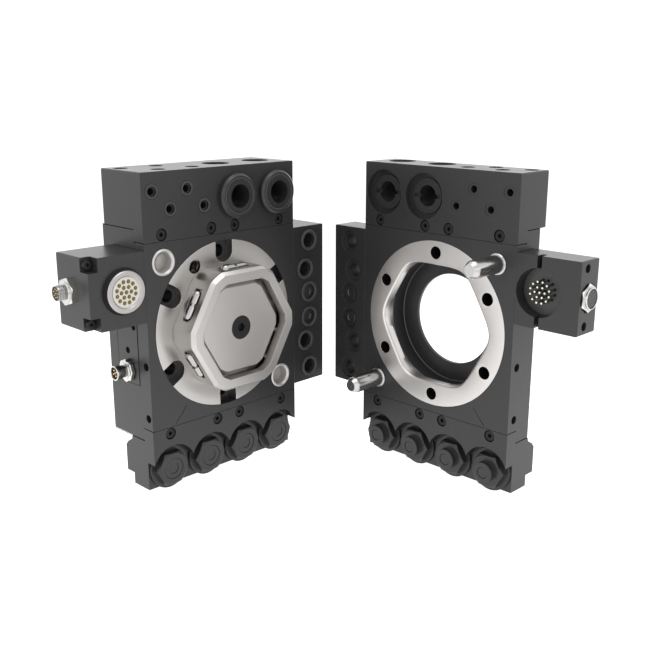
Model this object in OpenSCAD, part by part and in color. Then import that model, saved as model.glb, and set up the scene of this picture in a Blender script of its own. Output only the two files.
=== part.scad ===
// Robotic tool changer, shown undocked: the master half for the robot's wrist and, turned a quarter
// round beside it, the tool half that takes the gripper. Six rollers in a hexagonal steel nose are
// pushed outward by a cam on an air piston and lock behind the ledge of the tool half's ring.
// Row frame: +Z up, origin at the centre of the master's robot mounting face, +Y into the robot.
// Each half is drawn in its own frame: u to the right along its mating face, v up, w out of the face.

/* [Bodies] */
// Wall of both bodies beside the steel flanges
side_wall = 7.5; // [6.5:0.1:9]
// Height of the bodies' top shoulders above the flanges
top_shoulder = 16.3; // [15:0.1:18]
// Depth of the bodies' bottom shoulders below the flanges
bottom_shoulder = 17.5; // [16:0.1:19]
// Depth of the master body
master_depth = 58; // [56:1:64]
// Depth of the tool body
tool_depth = 31; // [30:0.5:36]
// How far the end blocks lap over the front of a body's shoulders
lap_v = 10.8; // [9:0.2:12]
// Thickness of those laps
lap_w = 13; // [12:0.5:16]
// Edge break on the blocks
edge_break = 0.8; // [0.4:0.1:1.2]
// Distance of the tool half's mating plane from the master's air module
apart_x = 4.7; // [3:0.1:8]
// Distance of the tool half's centre line from the master's mating plane
apart_y = 130; // [125:1:140]

/* [End blocks] */
// Reach of the port blocks and the feet beyond the steel flanges
end_reach = 61.5; // [59:0.5:65]
// Depth of the master port block
master_top_depth = 55.3; // [52:0.5:57.5]
// Depth of the tool port block
tool_top_depth = 38.5; // [36:0.5:45]
// Depth of the bottom blocks where they meet the bodies
bottom_neck_depth = 31.7; // [29:0.5:34]
// Greatest depth of the bottom blocks
bottom_depth = 42; // [40:0.5:46]
// Height of the undercut at the foot of the bottom blocks
foot_h = 9.7; // [6:0.5:12]
// Thread of the block screws
block_screw_d = 5; // [4:1:6]
// Distance of the block screws from the block's seam
block_screw_v = 5.6; // [5.2:0.1:6]
// Places of the block screws, from the block's sides
block_screw_in = [17.5, 67.6];

/* [Robot flange pattern] */
// Pitch circle of the six mounting bolts
bolt_pcd = 125; // [123:0.5:127]
// Clearance hole for those bolts
bolt_hole_d = 11; // [9:0.5:11.5]
// Hole for the dowel that sets the turn of the master half
dowel_d = 10; // [8:0.5:10.5]
// Steel outside the bolt circle
flange_rim = 10; // [9:0.2:11]
// Steel between the bolt holes and the corners of the lock ring's mouth
bolt_wall = 0.7; // [0.5:0.1:1]
// Radius of the flange screws' pitch circle beyond that of the bolts
screw_circle_out = 1.5; // [1:0.1:2]
// Pilot spigot and bore that centre the halves on robot and tool
pilot_d = 80; // [70:1:82]
// Height of the pilot spigot
pilot_h = 6; // [4:0.5:8]

/* [Locking nose] */
// Thickness of the master flange
flange_t = 9; // [8:0.5:11]
// Gap between the nose and the lock ring's mouth
docking_gap = 1; // [0.8:0.1:1.2]
// How far the nose's turned corners stand out beyond its flats
corner_rise = 4.3; // [3.8:0.1:4.8]
// Distance that the nose stands out of the mating face
nose_h = 27; // [26:0.2:27.4]
// Thickness of the rim at the nose's mouth
nose_rim_t = 8.6; // [8:0.2:10]
// Width of the rim at its flats
nose_rim_w = 10; // [9:0.2:11.5]
// How far the mouth's turned corners stand out beyond its flats
mouth_rise = 4; // [3.2:0.1:4.8]
// Width of the bevel round the nose's front
nose_bevel_r = 2.5; // [1.5:0.1:3]
// Length of that bevel
nose_bevel_w = 3.5; // [2:0.1:4.5]
// Wall of the nose at its flats
nose_wall = 3.3; // [3:0.1:3.6]
// Flat rim that the dished face of the master flange leaves at its edge
dish_rim = 3.5; // [2.5:0.5:5]
// Depth of the dish at the nose
dish_depth = 4.5; // [3:0.5:6]
// Width of the bolt slots in the flange
slot_w = 18; // [17:0.5:20]

/* [Rollers and cam] */
// Radius of a locking roller
roller_r = 4; // [3.6:0.1:4.1]
// Length of a roller over its round ends
roller_l = 26; // [24:0.5:28]
// How far a locked roller stands out of the nose's flat
roller_proud = 3.2; // [3:0.1:3.4]
// Radius of the roller's waist
waist_r = 2.5; // [2:0.1:3]
// Width of the roller's waist
waist_l = 3; // [2.6:0.1:3.6]
// Stroke of the piston and cam
lock_stroke = 4; // [3.5:0.1:4.5]
// Depth of the cam's face in the nose's mouth
cam_recess = 6.7; // [6.2:0.1:7.5]
// Thickness of the cam
cam_t = 15; // [13:0.5:15.5]
// Head of the cam screw
cam_screw_head_d = 20.4; // [18:0.2:24]
// Thread of the cam screw
cam_screw_d = 12; // [10:1:14]

/* [Lock cylinder] */
// Wall between the rear cover and the bolt holes
cover_wall = 2; // [1.5:0.1:3]
// Width of the cover's rim round the cylinder's bore
cover_rim = 9; // [8.5:0.1:10]
// Diameter of the piston rod
rod_d = 50; // [46:1:56]
// Thickness of the web that guides the rod
web_t = 15; // [13:0.5:16]
// Thickness of the piston
piston_t = 14; // [12:0.5:15]
// Free length between the piston and the web when locked
piston_cushion = 2; // [1:0.5:3]
// Thickness of the rear cover
cover_t = 8; // [7:0.5:9]

/* [Tool lock ring] */
// Depth of the lip in front of the ledge
ring_lip = 8.2; // [7.8:0.1:8.3]
// Width of the bevel round the ring's mouth
ring_bevel = 1.5; // [1:0.1:2]
// Thickness of the ring
ring_t = 13; // [12.6:0.2:16]
// Thickness of the web round the tool's pilot bore
tool_web_t = 3; // [2.5:0.1:3.4]

/* [Guide pins] */
// Direction of the guide pins from the centre, in degrees above the horizontal
guide_angle = 44.8; // [44:0.1:46]
// Wall between a guide bush and the steel flange
guide_wall = 3.8; // [3:0.1:4.5]
// Diameter of a guide pin
guide_pin_d = 15; // [12:0.5:15.2]
// Length of a guide pin out of the mating face
guide_pin_h = 37; // [32:0.5:40]
// Collar at the root of a guide pin
guide_collar_d = 17.6; // [17:0.1:19]
// Outer diameter of a guide bush
bush_d = 22; // [21:0.5:24]
// Clearance of a guide pin in its bush
guide_gap = 0.5; // [0.3:0.1:0.8]
// Length of a guide bush
bush_l = 24; // [20:1:28]

/* [Port blocks] */
// Bore of the large ports
large_bore_d = 20; // [16:0.5:22]
// Collar round the master's large ports
collar_d = 38; // [37:0.5:39]
// Height of that collar
collar_h = 6; // [4:0.5:7]
// Thickness of the threaded seats in the tool's large ports
insert_t = 6; // [5:0.5:6.5]
// Places of the large ports, from the master block's right side and from its top
large_ports_in = [[65.5, 25.5], [21.5, 25.5]];
// Places of the small ports, from the master block's left side and from its top
small_ports_in = [[10, 15.5], [27, 30.5], [44, 15.5], [61, 30.5]];
// Depths of the holes in the top face of the master block, one for each small port
master_small_tops = [42, 14.5, 42, 15];
// The same on the tool block
tool_small_tops = [30, 14.5, 30, 15];
// Bore of the small ports
small_bore_d = 6; // [4:0.5:7]
// Outer diameter of their seals
small_seal_d = 12.4; // [11:0.2:13]
// Hole for the large hose in the top face
hose_hole_d = 24; // [22:0.5:25]
// Depth of that hole
hose_hole_h = 14; // [12:0.5:15]
// Bore that joins it to the port
hose_throat_d = 14; // [10:0.5:16]
// Distance of the large hose holes from the master's mating face
master_hose_w = 26.5; // [25:0.5:30]
// The same on the tool block
tool_hose_w = 24; // [23.5:0.1:25]
// Hole for the small hose in the top face
small_hose_d = 12; // [9:0.5:12.5]

/* [Air modules] */
// Width of the air modules
air_w = 37.3; // [36.5:0.1:39]
// Half height of the air modules
air_half_h = 74; // [72:0.5:76]
// Depth of the master air module
master_air_depth = 45.8; // [42:0.5:48]
// Depth of the tool air module
tool_air_depth = 25.4; // [25:0.2:29]
// Bore of the air ports
air_bore_d = 13; // [11:0.5:13.5]
// Outer diameter of their seals
air_seal_d = 20; // [18.5:0.5:20.5]
// Places of the air ports in the upper half, from the body's side and from the centre line
air_ports = [[19.2, 12], [14.3, 34.2], [19.3, 60.5]];
// Travel of the check poppets
air_travel = 4; // [3:0.5:5]

/* [Signal modules] */
// Reach of the master signal housing from the body's side
signal_reach = 50.3; // [49:0.5:52]
// Reach of the tool signal housing from the body's side
tool_signal_reach = 56; // [54:0.5:58]
// Bottom and top of the signal housings
signal_v = [14.9, 73.1];
// Depth of the master signal housing
master_signal_depth = 45.8; // [42:0.5:48]
// Depth of the tool signal housing
tool_signal_depth = 25.3; // [25:0.1:29]
// Wall between the tool body and the recess round its spring pins
recess_wall = 0.7; // [0.5:0.1:1]
// Radius of the contact bezel
bezel_r = 17; // [16.5:0.1:17.3]
// Radius of the contact disc
disc_r = 12.2; // [11.4:0.1:13]
// Height of the bezel over the mating face
bezel_h = 5; // [4:0.2:5.6]
// Pitch of the contacts
contact_pitch = 4.45; // [4.1:0.05:4.6]
// Diameter of a contact pad
pad_d = 2.9; // [2.4:0.1:3.2]
// Diameter of a spring pin
spring_pin_d = 1.8; // [1.4:0.1:2.2]
// Travel of the spring pins
contact_travel = 3; // [2:0.2:3.4]
// Radius of the recess round the spring pins
recess_r = 19.5; // [19.3:0.1:20]
// Depth of that recess
recess_depth = 11; // [9:0.5:12]

/* [Connectors] */
// Height of the master signal connector above the contacts
plug_rise = 0.8; // [0:0.1:2]
// Its depth from the mating face
plug_w = 27.5; // [25:0.5:30]
// Tube of the connectors
plug_d = 12; // [11:0.5:13]
// Reach of the master signal connector
plug_reach = 12.7; // [11:0.1:15]
// Width across flats of the connector nuts
plug_nut = 20; // [18:0.5:21]
// Depth of the tool signal connector from the mating face
socket_w = 12.65; // [12.3:0.05:12.9]
// Height of the sensor connector from the centre line
sensor_v = -31; // [-32:0.5:-29]
// Its depth from the mating face
sensor_w = 30.3; // [29:0.5:32]
// Reach of the sensor connector
sensor_reach = 15; // [13:0.5:17]

/* [Fluid couplings] */
// Height of the coupling centres above the feet
coupling_rise = 16.7; // [16:0.1:17.5]
// Radius of the scallops round the couplings
scallop_r = 21.7; // [21.2:0.1:22.5]
// Depth of the scallops
scallop_depth = 10; // [8:0.5:11]
// Width across flats of the couplings
coupling_af = 28; // [26:0.5:30]
// Radius of the washer under each coupling
washer_r = 19; // [18:0.1:19.5]
// Diameter of the tool's nipples and of the shutters that they push in
nipple_d = 18; // [16:0.5:19]
// Height of the nipples over the mating face
nipple_h = 4; // [3:0.2:4.6]
// Travel of the master's shutters
shutter_travel = 5; // [4:0.2:5.6]
// Travel of the tool's poppets
poppet_travel = 3; // [2:0.2:4]
// Radius of the poppets
poppet_r = 4.8; // [4:0.1:5.2]

/* [Fits] */
// Gap between pieces that move past each other
running_gap = 0.3; // [0.25:0.05:0.4]
// Radial gap between a fixed piece and its seat
seat_gap = 0.1; // [0.05:0.05:0.15]
// Gap of a seal to the wall that it wipes
seal_gap = 0.08; // [0.05:0.01:0.1]

/* [Hidden] */
$fn = 64;
cut = 0.5;                                  // overshoot of every cutter
bolt_r = bolt_pcd / 2;
flange_r = bolt_r + flange_rim;
flange_d = 2 * flange_r;
flange_screw_r = bolt_r + screw_circle_out;
half_w = flange_r + side_wall;
body_top = flange_r + top_shoulder;
body_bottom = flange_r + bottom_shoulder;
half_height = flange_r + end_reach;
ring_corner_r = bolt_r - bolt_hole_d / 2 - bolt_wall;
nose_corner_r = ring_corner_r - docking_gap;
nose_apothem = nose_corner_r - corner_rise;
ring_apothem = nose_apothem + docking_gap;
mouth_apothem = nose_apothem - nose_rim_w;
mouth_corner_r = mouth_apothem + mouth_rise;
roller_axis_r = nose_apothem + roller_proud - roller_r;
roller_axis_w = ring_lip - ring_apothem + roller_axis_r + (roller_r + seat_gap) * sqrt(2);
cam_face_w = nose_h - cam_recess;
cover_d = 2 * (bolt_r - bolt_hole_d / 2 - cover_wall);
cylinder_d = cover_d - 2 * cover_rim;
guide_r = flange_r + bush_d / 2 + guide_wall;
guide_u = guide_r * cos(guide_angle);
guide_v = guide_r * sin(guide_angle);
contact_u = half_w + recess_r + recess_wall;
contact_v = (signal_v[0] + signal_v[1]) / 2;
plug_v = contact_v + plug_rise;
large_ports = [for (p = large_ports_in) [half_w - p[0], half_height - p[1]]];
small_ports = [for (p = small_ports_in) [p[0] - half_w, half_height - p[1]]];
lap_top = body_top - lap_v + 0.3;           // top of the body's front face
lap_bottom = body_bottom - lap_v - 0.2;     // bottom of the body's front face
six = [0:60:300];
bolt_angles = [30:60:330];
screw_angles = [48:60:348];
dowel_angle = 120;

cavity_apothem = nose_apothem - nose_wall;
cavity_corner_r = nose_corner_r - nose_wall - 1.4;
cavity_top = nose_h - nose_rim_t;
cam_line = roller_axis_r + roller_axis_w - (roller_r + running_gap) * sqrt(2);
cam_apothem = cavity_apothem - 0.7;
cam_corner_r = cavity_corner_r - 0.6;
cam_plate_apothem = cam_line - cam_face_w;
cam_plate_corner_r = cam_plate_apothem + 3.4;
cam_back_w = cam_face_w - cam_t;
web_back = flange_t + web_t;                // depth of the web's rear face
piston_front = web_back + piston_cushion;
cover_front = master_depth - cover_t;
cover_screw_r = (cylinder_d + cover_d) / 4 + 0.3;

tool_face_x = half_w + air_w + apart_x;     // mating plane of the tool half
tool_y = -master_depth - apart_y;           // centre line of the tool half

air_screw_v = [(air_ports[0][1] + air_ports[1][1]) / 2, (air_ports[1][1] + air_ports[2][1]) / 2];
contact_ring = concat([[0, 0]],
    [for (a = [0:60:300]) contact_pitch * [cos(a), sin(a)]],
    [for (a = [15:30:345]) 1.93 * contact_pitch * [cos(a), sin(a)]]);
coupling_pitch = half_w / 2;
coupling_v = coupling_rise - half_height;
coupling_places = [for (i = [-1.5:1:1.5]) [i * coupling_pitch, coupling_v]];
pin_places = [[guide_u, guide_v], [-guide_u, -guide_v]];
coupling_shank_d = 26;
coupling_front = -1;                        // the hexagon's front, just under the mating face
coupling_depth = 30;
hose_bore_d = 14;
air_screw_w = -12.7;
air_screw_grip = half_w - flange_r - 1;
air_screw_places = [for (s = [-1, 1], v = air_screw_v) s * v];
sensor_screw_places = [[-13.9, 30.5], [7.6, 20.5]];
notch_screw_v = [signal_v[0] + 5.8, signal_v[1] - 5.6];
bezel_seat = 6;
valve_depth = 24;
tool_housing_screw_v = [signal_v[0] + 8, signal_v[1] - 8];
insert_d = 30;

black = [0.13, 0.13, 0.14];
dark = [0.2, 0.2, 0.21];
steel = [0.72, 0.71, 0.69];
bright = [0.86, 0.86, 0.87];
gold = [0.85, 0.68, 0.36];
pale = [0.84, 0.83, 0.8];
rubber = [0.05, 0.05, 0.05];

// ---------- frames and helpers ----------

module on_master() translate([0, -master_depth, 0]) rotate([90, 0, 0]) children();

module on_tool() translate([tool_face_x, tool_y, 0]) rotate([0, 0, -90]) rotate([90, 0, 0]) children();

function mate(p) = [-p[0], p[1]];

// A cylinder between two heights along w
module rod(d, from, to, fn = 64) translate([0, 0, from]) cylinder(d = d, h = to - from, $fn = fn);

// A cone between two heights along w

// A block between two corners, its four edges along w broken
module block(u, v, w, b = edge_break)
    translate([0, 0, w[0]]) linear_extrude(w[1] - w[0]) polygon([
        [u[0] + b, v[0]], [u[1] - b, v[0]], [u[1], v[0] + b], [u[1], v[1] - b],
        [u[1] - b, v[1]], [u[0] + b, v[1]], [u[0], v[1] - b], [u[0], v[0] + b]]);

// A plain box between two corners
module box(u, v, w) translate([u[0], v[0], w[0]]) cube([u[1] - u[0], v[1] - v[0], w[1] - w[0]]);

module at(p, w = 0) translate([p[0], p[1], w]) children();

// Points a cylinder's axis from +w to -u, seen from the left, or to +u
module facing_left(u, v, w) translate([u, v, w]) rotate([0, -90, 0]) children();
module facing_right(u, v, w) translate([u, v, w]) rotate([0, 90, 0]) children();

// A flat-topped ring of round section, standing on w = 0 of its frame
module o_ring(outer_d, section, w)
    translate([0, 0, w]) rotate_extrude() translate([outer_d / 2 - section / 2, 0])
        circle(d = section, $fn = 24);

// A socket-head screw whose head starts at w and whose thread ends at tip
module socket_screw(head_d, head_h, thread_d, w, tip, key)
    difference() {
        union() {
            rod(head_d, w - head_h, w, 32);
            rod(thread_d, tip, w - head_h, 32);
        }
        rod(key, w - head_h * 0.55, w + cut, 6);
    }

// A hexagonal solid with its flats up and down: the flats follow one profile of [apothem, w]
// points, and the corners are turned off along another of [radius, w] points
module hexagon(flat, turned) {
    last = len(flat) - 1;
    both_sides = concat(flat, [for (i = [last:-1:0]) [-flat[i][0], flat[i][1]]]);
    intersection() {
        hexagon_flats(both_sides, 0);
        hexagon_flats(both_sides, 60);
        hexagon_flats(both_sides, 120);
        rotate_extrude($fn = 96)
            polygon(concat([[0, turned[0][1]]], turned, [[0, turned[len(turned) - 1][1]]]));
    }
}

module hexagon_flats(profile, turn)
    rotate([0, 0, turn]) rotate([90, 0, 90]) linear_extrude(2 * flange_d, center = true)
        polygon(profile);

// A straight hexagonal prism of the same kind
module hexagon_prism(apothem, corner_r, from, to)
    hexagon([[apothem, from], [apothem, to]], [[corner_r, from], [corner_r, to]]);

// ---------- pieces that both halves share ----------

// The body plate with its stepped shoulders, its centre and end seats left to the caller
module body_plate(depth) {
    block([-half_w, half_w], [-lap_bottom, lap_top], [-lap_w, 0]);
    block([-half_w, half_w], [-body_bottom, body_top], [-depth, -lap_w]);
}

// The port block over a body's top shoulder
module top_block(depth)
    difference() {
        block([-half_w, half_w], [lap_top, half_height], [-depth, 0]);
        box([-half_w - cut, half_w + cut], [lap_top - cut, body_top], [-depth - cut, -lap_w]);
    }

// The foot block under a body's bottom shoulder, with its scallops for the couplings
module bottom_block() {
    foot = half_height - foot_h;
    step = bottom_depth - bottom_neck_depth;
    difference() {
        rotate([90, 0, 90]) linear_extrude(2 * half_w, center = true) polygon([
            [-lap_bottom, 0], [-lap_bottom, -lap_w], [-body_bottom, -lap_w],
            [-body_bottom, -bottom_neck_depth], [-body_bottom - 3.4, -bottom_neck_depth - 0.9],
            [-body_bottom - 0.68 * step, -bottom_neck_depth - 0.68 * step],
            [-body_bottom - 1.05 * step, -bottom_depth], [-foot, -bottom_depth],
            [-foot, -bottom_neck_depth], [-half_height, -bottom_neck_depth],
            [-half_height, -edge_break], [edge_break - half_height, 0]]);
        for (p = coupling_places) at(p) {
            rod(2 * scallop_r, -scallop_depth, cut);
            box([-scallop_r, scallop_r], [-scallop_r - 9, 0], [-scallop_depth, cut]);
            rod(coupling_shank_d + 2 * seat_gap, -coupling_depth, 0);
            rod(hose_bore_d, -bottom_depth - cut, 1 - coupling_depth);
        }
        box([-half_w - cut, half_w + cut], [-half_height - cut, -half_height + 8],
            [-scallop_depth, cut]);
        for (u = block_screws()) at([u, -lap_bottom - block_screw_v]) block_screw_seat();
    }
}

function block_screws() = [for (s = [-1, 1], u = block_screw_in) s * (half_w - u)];

// Each end block is held by screws through its lap
module block_screw() socket_screw(8.5, 5, block_screw_d, -0.8, -lap_w - 12, 4);
module block_screw_seat() {
    rod(10.2, -5.8, cut + 1, 32);
    rod(block_screw_d + 2 * seat_gap, -lap_w - 13, 0, 32);
}
module block_screws_at(v) for (u = block_screws()) at([u, v]) block_screw();
module block_screw_holes(v) for (u = block_screws()) at([u, v])
    rod(block_screw_d + 2 * seat_gap, -lap_w - 13, 1 - lap_w, 32);

// An air module beside a body, its ports bored through, the middle pair with a seat for a poppet
module air_module(side, depth)
    difference() {
        block(side > 0 ? [half_w, half_w + air_w] : [-half_w - air_w, -half_w],
            [-air_half_h, air_half_h], [-depth, 0]);
        for (p = air_places(side)) at(p) {
            rod(air_bore_d, -depth - cut, cut);
            rod(air_seal_d, -1.6, cut);
        }
        for (v = air_screw_places) translate([side * (half_w + air_w), v, air_screw_w])
            rotate([0, side * 90, 0]) {
                rod(10, -6.6, cut + 1, 32);
                rod(6 + 2 * seat_gap, -air_w - 1, 0, 32);
            }
    }

function air_places(side) = [for (s = [-1, 1], p = air_ports) [side * (half_w + p[0]), s * p[1]]];
function poppet_places(side) = [for (s = [-1, 1]) [side * (half_w + air_ports[0][0]), s * air_ports[0][1]]];

// Screws that hold an air module to the body's side
module air_screws(side)
    for (v = air_screw_places) translate([side * (half_w + air_w), v, air_screw_w])
        rotate([0, side * 90, 0]) socket_screw(9.6, 6, 6, -0.6, -air_w - air_screw_grip, 5);

// The tapped holes for them in the body
module air_screw_holes(side)
    for (v = air_screw_places) translate([side * half_w, v, air_screw_w])
        rotate([0, side * 90, 0]) rod(6 + 2 * seat_gap, -air_screw_grip - 0.5, 1, 32);

// A mushroom check poppet, its face near the mating plane
module air_poppet()
    difference() {
        union() {
            rod(air_bore_d - 2 * running_gap, -4.2, -0.9);
            rod(5, -14, -4.2, 32);
        }
        rod(6, -1.7, cut);
    }

// ---------- master half ----------

module master_body() color(black) on_master() difference() {
    body_plate(master_depth);
    rod(flange_d + 2 * seat_gap, -flange_t, cut, 128);
    rod(rod_d + 2 * running_gap, -web_back - cut, 0);
    rod(cylinder_d, -cover_front - cut, -web_back, 96);
    rod(cover_d + 2 * seat_gap, -master_depth - cut, -cover_front, 96);
    for (a = bolt_angles) rotate(a) at([bolt_r, 0]) rod(bolt_hole_d, -master_depth - cut, 0);
    rotate(dowel_angle) at([bolt_r, 0]) rod(dowel_d, -master_depth - cut, 0);
    for (a = screw_angles) rotate(a) at([flange_screw_r, 0]) {
        rod(8 + 2 * seat_gap, -master_depth, 0, 32);
        rod(14, -master_depth - cut, 9 - master_depth, 32);
    }
    for (a = six) rotate(a) at([cover_screw_r, 0])
        rod(5 + 2 * seat_gap, -cover_front - 1, 9 - cover_front, 24);
    for (p = pin_places) at(mate(p)) {
        rod(bush_d + 2 * seat_gap, -bush_l, cut);
        rod(guide_pin_d + 2 * guide_gap + 1, -guide_pin_h - 5, 0);
    }
    block_screw_holes(lap_top + block_screw_v);
    block_screw_holes(-lap_bottom - block_screw_v);
    air_screw_holes(1);
    for (v = [-23.3, -68.3]) facing_left(-half_w, v, -5.4) rod(7, -10, cut, 32);
    facing_left(-half_w, sensor_v, -sensor_w) rod(plug_d + 2 * seat_gap, -12, cut);
    for (p = sensor_screw_places) facing_left(-half_w, p[0], -p[1])
        rod(3 + 2 * seat_gap, -9, cut, 24);
    housing_screw_holes(-half_w);
    wiring_groove(-1);
}

// A fine straight groove in the face, low on one side
module wiring_groove(side)
    translate([side * 45.4, -63.9, 0]) rotate(side > 0 ? -49.5 : 180 + 49.5)
        translate([0, -0.35, -0.5]) cube([17.8, 0.7, 1]);

// The steel flange and its hexagonal nose in one piece, hollow for the cam
module master_flange() color(steel) on_master() difference() {
    union() {
        difference() {
            rod(flange_d, -flange_t, 0, 128);
            rotate_extrude($fn = 128) polygon(concat([[0, cut], [0, -dish_depth]], dish_curve()));
            for (a = bolt_angles) rotate(a) bolt_slot();
            rotate(dowel_angle) at([bolt_r, 0]) rod(dowel_d, -flange_t - cut, cut);
            rotate(dowel_angle) at([nose_corner_r + 1.2, 0]) rod(4, -dish_depth - 2, cut, 24);
        }
        hexagon([[nose_apothem, -flange_t], [nose_apothem, nose_h - nose_bevel_w],
                [nose_apothem - nose_bevel_r, nose_h]],
            [[nose_corner_r, -flange_t], [nose_corner_r, nose_h - nose_bevel_w],
                [nose_corner_r - nose_bevel_r, nose_h]]);
    }
    hexagon_prism(cavity_apothem, cavity_corner_r, -flange_t - cut, cavity_top);
    hexagon_prism(mouth_apothem, mouth_corner_r, cavity_top - cut, nose_h + cut);
    for (a = six) rotate(a) roller_window();
    for (a = screw_angles) rotate(a) at([flange_screw_r, 0])
        rod(8 + 2 * seat_gap, -flange_t - cut, -2, 32);
}

// The dished face round the nose, level at its rim and at the nose's flats
function dish_curve() =
    let (outer = flange_r - dish_rim, inner = nose_apothem, steps = 10)
    concat([for (i = [0:steps]) [inner + (outer - inner) * i / steps,
        -dish_depth * (1 + cos(180 * i / steps)) / 2]], [[outer, cut]]);

module bolt_slot() {
    at([bolt_r, 0]) rod(slot_w, -flange_t - cut, cut);
    box([bolt_r, flange_d / 2 + 2], [-slot_w / 2, slot_w / 2], [-flange_t - cut, cut]);
}

// The window that a roller passes through, with the rib that its waist straddles
module roller_window() {
    r = roller_r + running_gap + 0.1;
    straight = roller_l / 2 - roller_r;
    difference() {
        translate([0, nose_apothem + 6, roller_axis_w]) rotate([90, 0, 0])
            linear_extrude(nose_wall + 8.5) union() {
                square([2 * straight, 2 * r], center = true);
                translate([straight, 0]) circle(r);
                translate([-straight, 0]) circle(r);
            }
        rib = waist_l / 2 - running_gap - 0.1;
        box([-rib, rib], [cavity_apothem, nose_apothem],
            [roller_axis_w - r - 1, roller_axis_w - waist_r - running_gap - 0.1]);
    }
}

// Long screws from the rear that draw the steel flange into the body
module flange_screws() color(dark) on_master() for (a = screw_angles) rotate(a)
    at([flange_screw_r, 0]) translate([0, 0, -master_depth]) rotate([180, 0, 0])
        socket_screw(13, 8, 8, -1, -master_depth + 3, 6);

// The cylinder's cover, with the pilot spigot for the robot
module rear_cover() color(dark) on_master() difference() {
    union() {
        rod(cover_d, -master_depth, -cover_front, 96);
        rod(pilot_d, -master_depth - pilot_h, -master_depth, 96);
        rod(cylinder_d - 2 * seat_gap, -cover_front, 2 - cover_front, 96);
    }
    rod(pilot_d - 24, -master_depth - pilot_h - cut, -master_depth - 1, 96);
    for (a = six) rotate(a) at([cover_screw_r, 0]) {
        rod(5 + 2 * seat_gap, -master_depth - cut, 2 - cover_front + cut, 24);
        rod(7.6, -master_depth - cut, 4.6 - master_depth, 24);
    }
}

module rear_cover_screws() color(dark) on_master() for (a = six) rotate(a)
    at([cover_screw_r, 0]) translate([0, 0, -master_depth]) rotate([180, 0, 0])
        socket_screw(7.2, 4.2, 5, -0.4, -cover_t - 8, 3.5);

// Piston and rod in one piece
module lock_piston() color(bright) on_master() difference() {
    union() {
        rod(rod_d, -piston_front - 1, cam_back_w);
        rod(cylinder_d - 2 * running_gap, -piston_front - piston_t, -piston_front, 96);
    }
    difference() {
        rod(cylinder_d + 1, -piston_front - piston_t / 2 - 2, -piston_front - piston_t / 2 + 2, 96);
        rod(cylinder_d - 9, -piston_front - piston_t, -piston_front, 96);
    }
    rod(cam_screw_d + 2 * seat_gap, -14, cam_back_w + cut, 32);
}

module piston_seal() color(rubber) on_master() difference() {
    rod(cylinder_d - 2 * seal_gap, -piston_front - piston_t / 2 - 1.9,
        -piston_front - piston_t / 2 + 1.9, 96);
    rod(cylinder_d - 9 + 2 * seat_gap, -piston_front - piston_t, -piston_front, 96);
}

// The hexagonal cam, its six flanks at 45 degrees
module lock_cam() color(steel) on_master() difference() {
    hexagon([[cam_apothem, cam_back_w], [cam_apothem, cam_line - cam_apothem],
            [cam_plate_apothem, cam_face_w]],
        [[cam_corner_r, cam_back_w],
            [cam_corner_r, cam_face_w - cam_corner_r + cam_plate_corner_r],
            [cam_plate_corner_r, cam_face_w]]);
    rod(cam_screw_head_d + 2 * seat_gap, cam_face_w - 7, cam_face_w + cut);
    rod(cam_screw_d + 2 * seat_gap, cam_back_w - cut, cam_face_w, 32);
}

module cam_screw() color(black) on_master()
    socket_screw(cam_screw_head_d, 7, cam_screw_d, cam_face_w, -13, 8);

// A waisted roller with round ends, lying across one flat of the nose
module lock_roller(number) color(bright) on_master() rotate(60 * number)
    translate([0, roller_axis_r, roller_axis_w]) rotate([0, 90, 0]) union() {
        straight = roller_l / 2 - roller_r;
        rod(2 * waist_r, -straight, straight, 48);
        for (s = [-1, 1]) {
            translate([0, 0, s * (straight + waist_l / 2) / 2])
                cylinder(r = roller_r, h = straight - waist_l / 2, center = true, $fn = 48);
            translate([0, 0, s * straight]) sphere(roller_r, $fn = 48);
        }
    }

module guide_bushes() color(bright) on_master() for (p = pin_places) at(mate(p))
    rotate_extrude() polygon([[guide_pin_d / 2 + guide_gap, -bush_l], [bush_d / 2, -bush_l],
        [bush_d / 2, 0.2], [bush_d / 2 - 0.8, 1], [guide_pin_d / 2 + guide_gap + 1.4, 1],
        [guide_pin_d / 2 + guide_gap, -0.6]]);

module master_top_block() color(black) on_master() difference() {
    top_block(master_top_depth);
    for (u = block_screws()) at([u, lap_top + block_screw_v]) block_screw_seat();
    for (p = large_ports) {
        at(p) rod(large_bore_d, -master_hose_w - 6, cut);
        hose_port(p[0], p[1], master_hose_w);
    }
    for (i = [0:3]) {
        at(small_ports[i]) rod(small_bore_d, -master_small_tops[i] - 3, cut, 32);
        at(small_ports[i]) rod(small_seal_d, -1.4, cut);
        top_drill(small_ports[i][0], small_ports[i][1] - 1, master_small_tops[i], small_hose_d);
    }
}

// A hole from a port block's top face down to a port
module top_drill(u, bottom, w, d)
    translate([u, bottom, -w]) rotate([-90, 0, 0]) cylinder(d = d, h = half_height - bottom + cut);

// The large hose hole in a port block's top face and the bore that joins it to the port
module hose_port(u, v, w) {
    top_drill(u, half_height - hose_hole_h, w, hose_hole_d);
    top_drill(u, v, w, hose_throat_d);
}

module master_top_screws() color(dark) on_master() block_screws_at(lap_top + block_screw_v);

// Proud collars that enter the tool half's sockets
module port_collars() color(dark) on_master() for (p = large_ports) at(p) rotate_extrude() polygon([
    [large_bore_d / 2, 0], [collar_d / 2, 0], [collar_d / 2, collar_h - 2],
    [collar_d / 2 - 2, collar_h], [collar_d / 2 - 2.9, collar_h], [collar_d / 2 - 2.9, collar_h - 2],
    [collar_d / 2 - 5.1, collar_h - 2], [collar_d / 2 - 5.1, collar_h],
    [large_bore_d / 2, collar_h]]);

module collar_seals() color(rubber) on_master() for (p = large_ports) at(p)
    o_ring(collar_d - 6, 2, collar_h - 0.9);

module master_port_seals() color(rubber) on_master() for (p = small_ports) at(p)
    o_ring(small_seal_d - 0.3, 2, -0.3);

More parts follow.
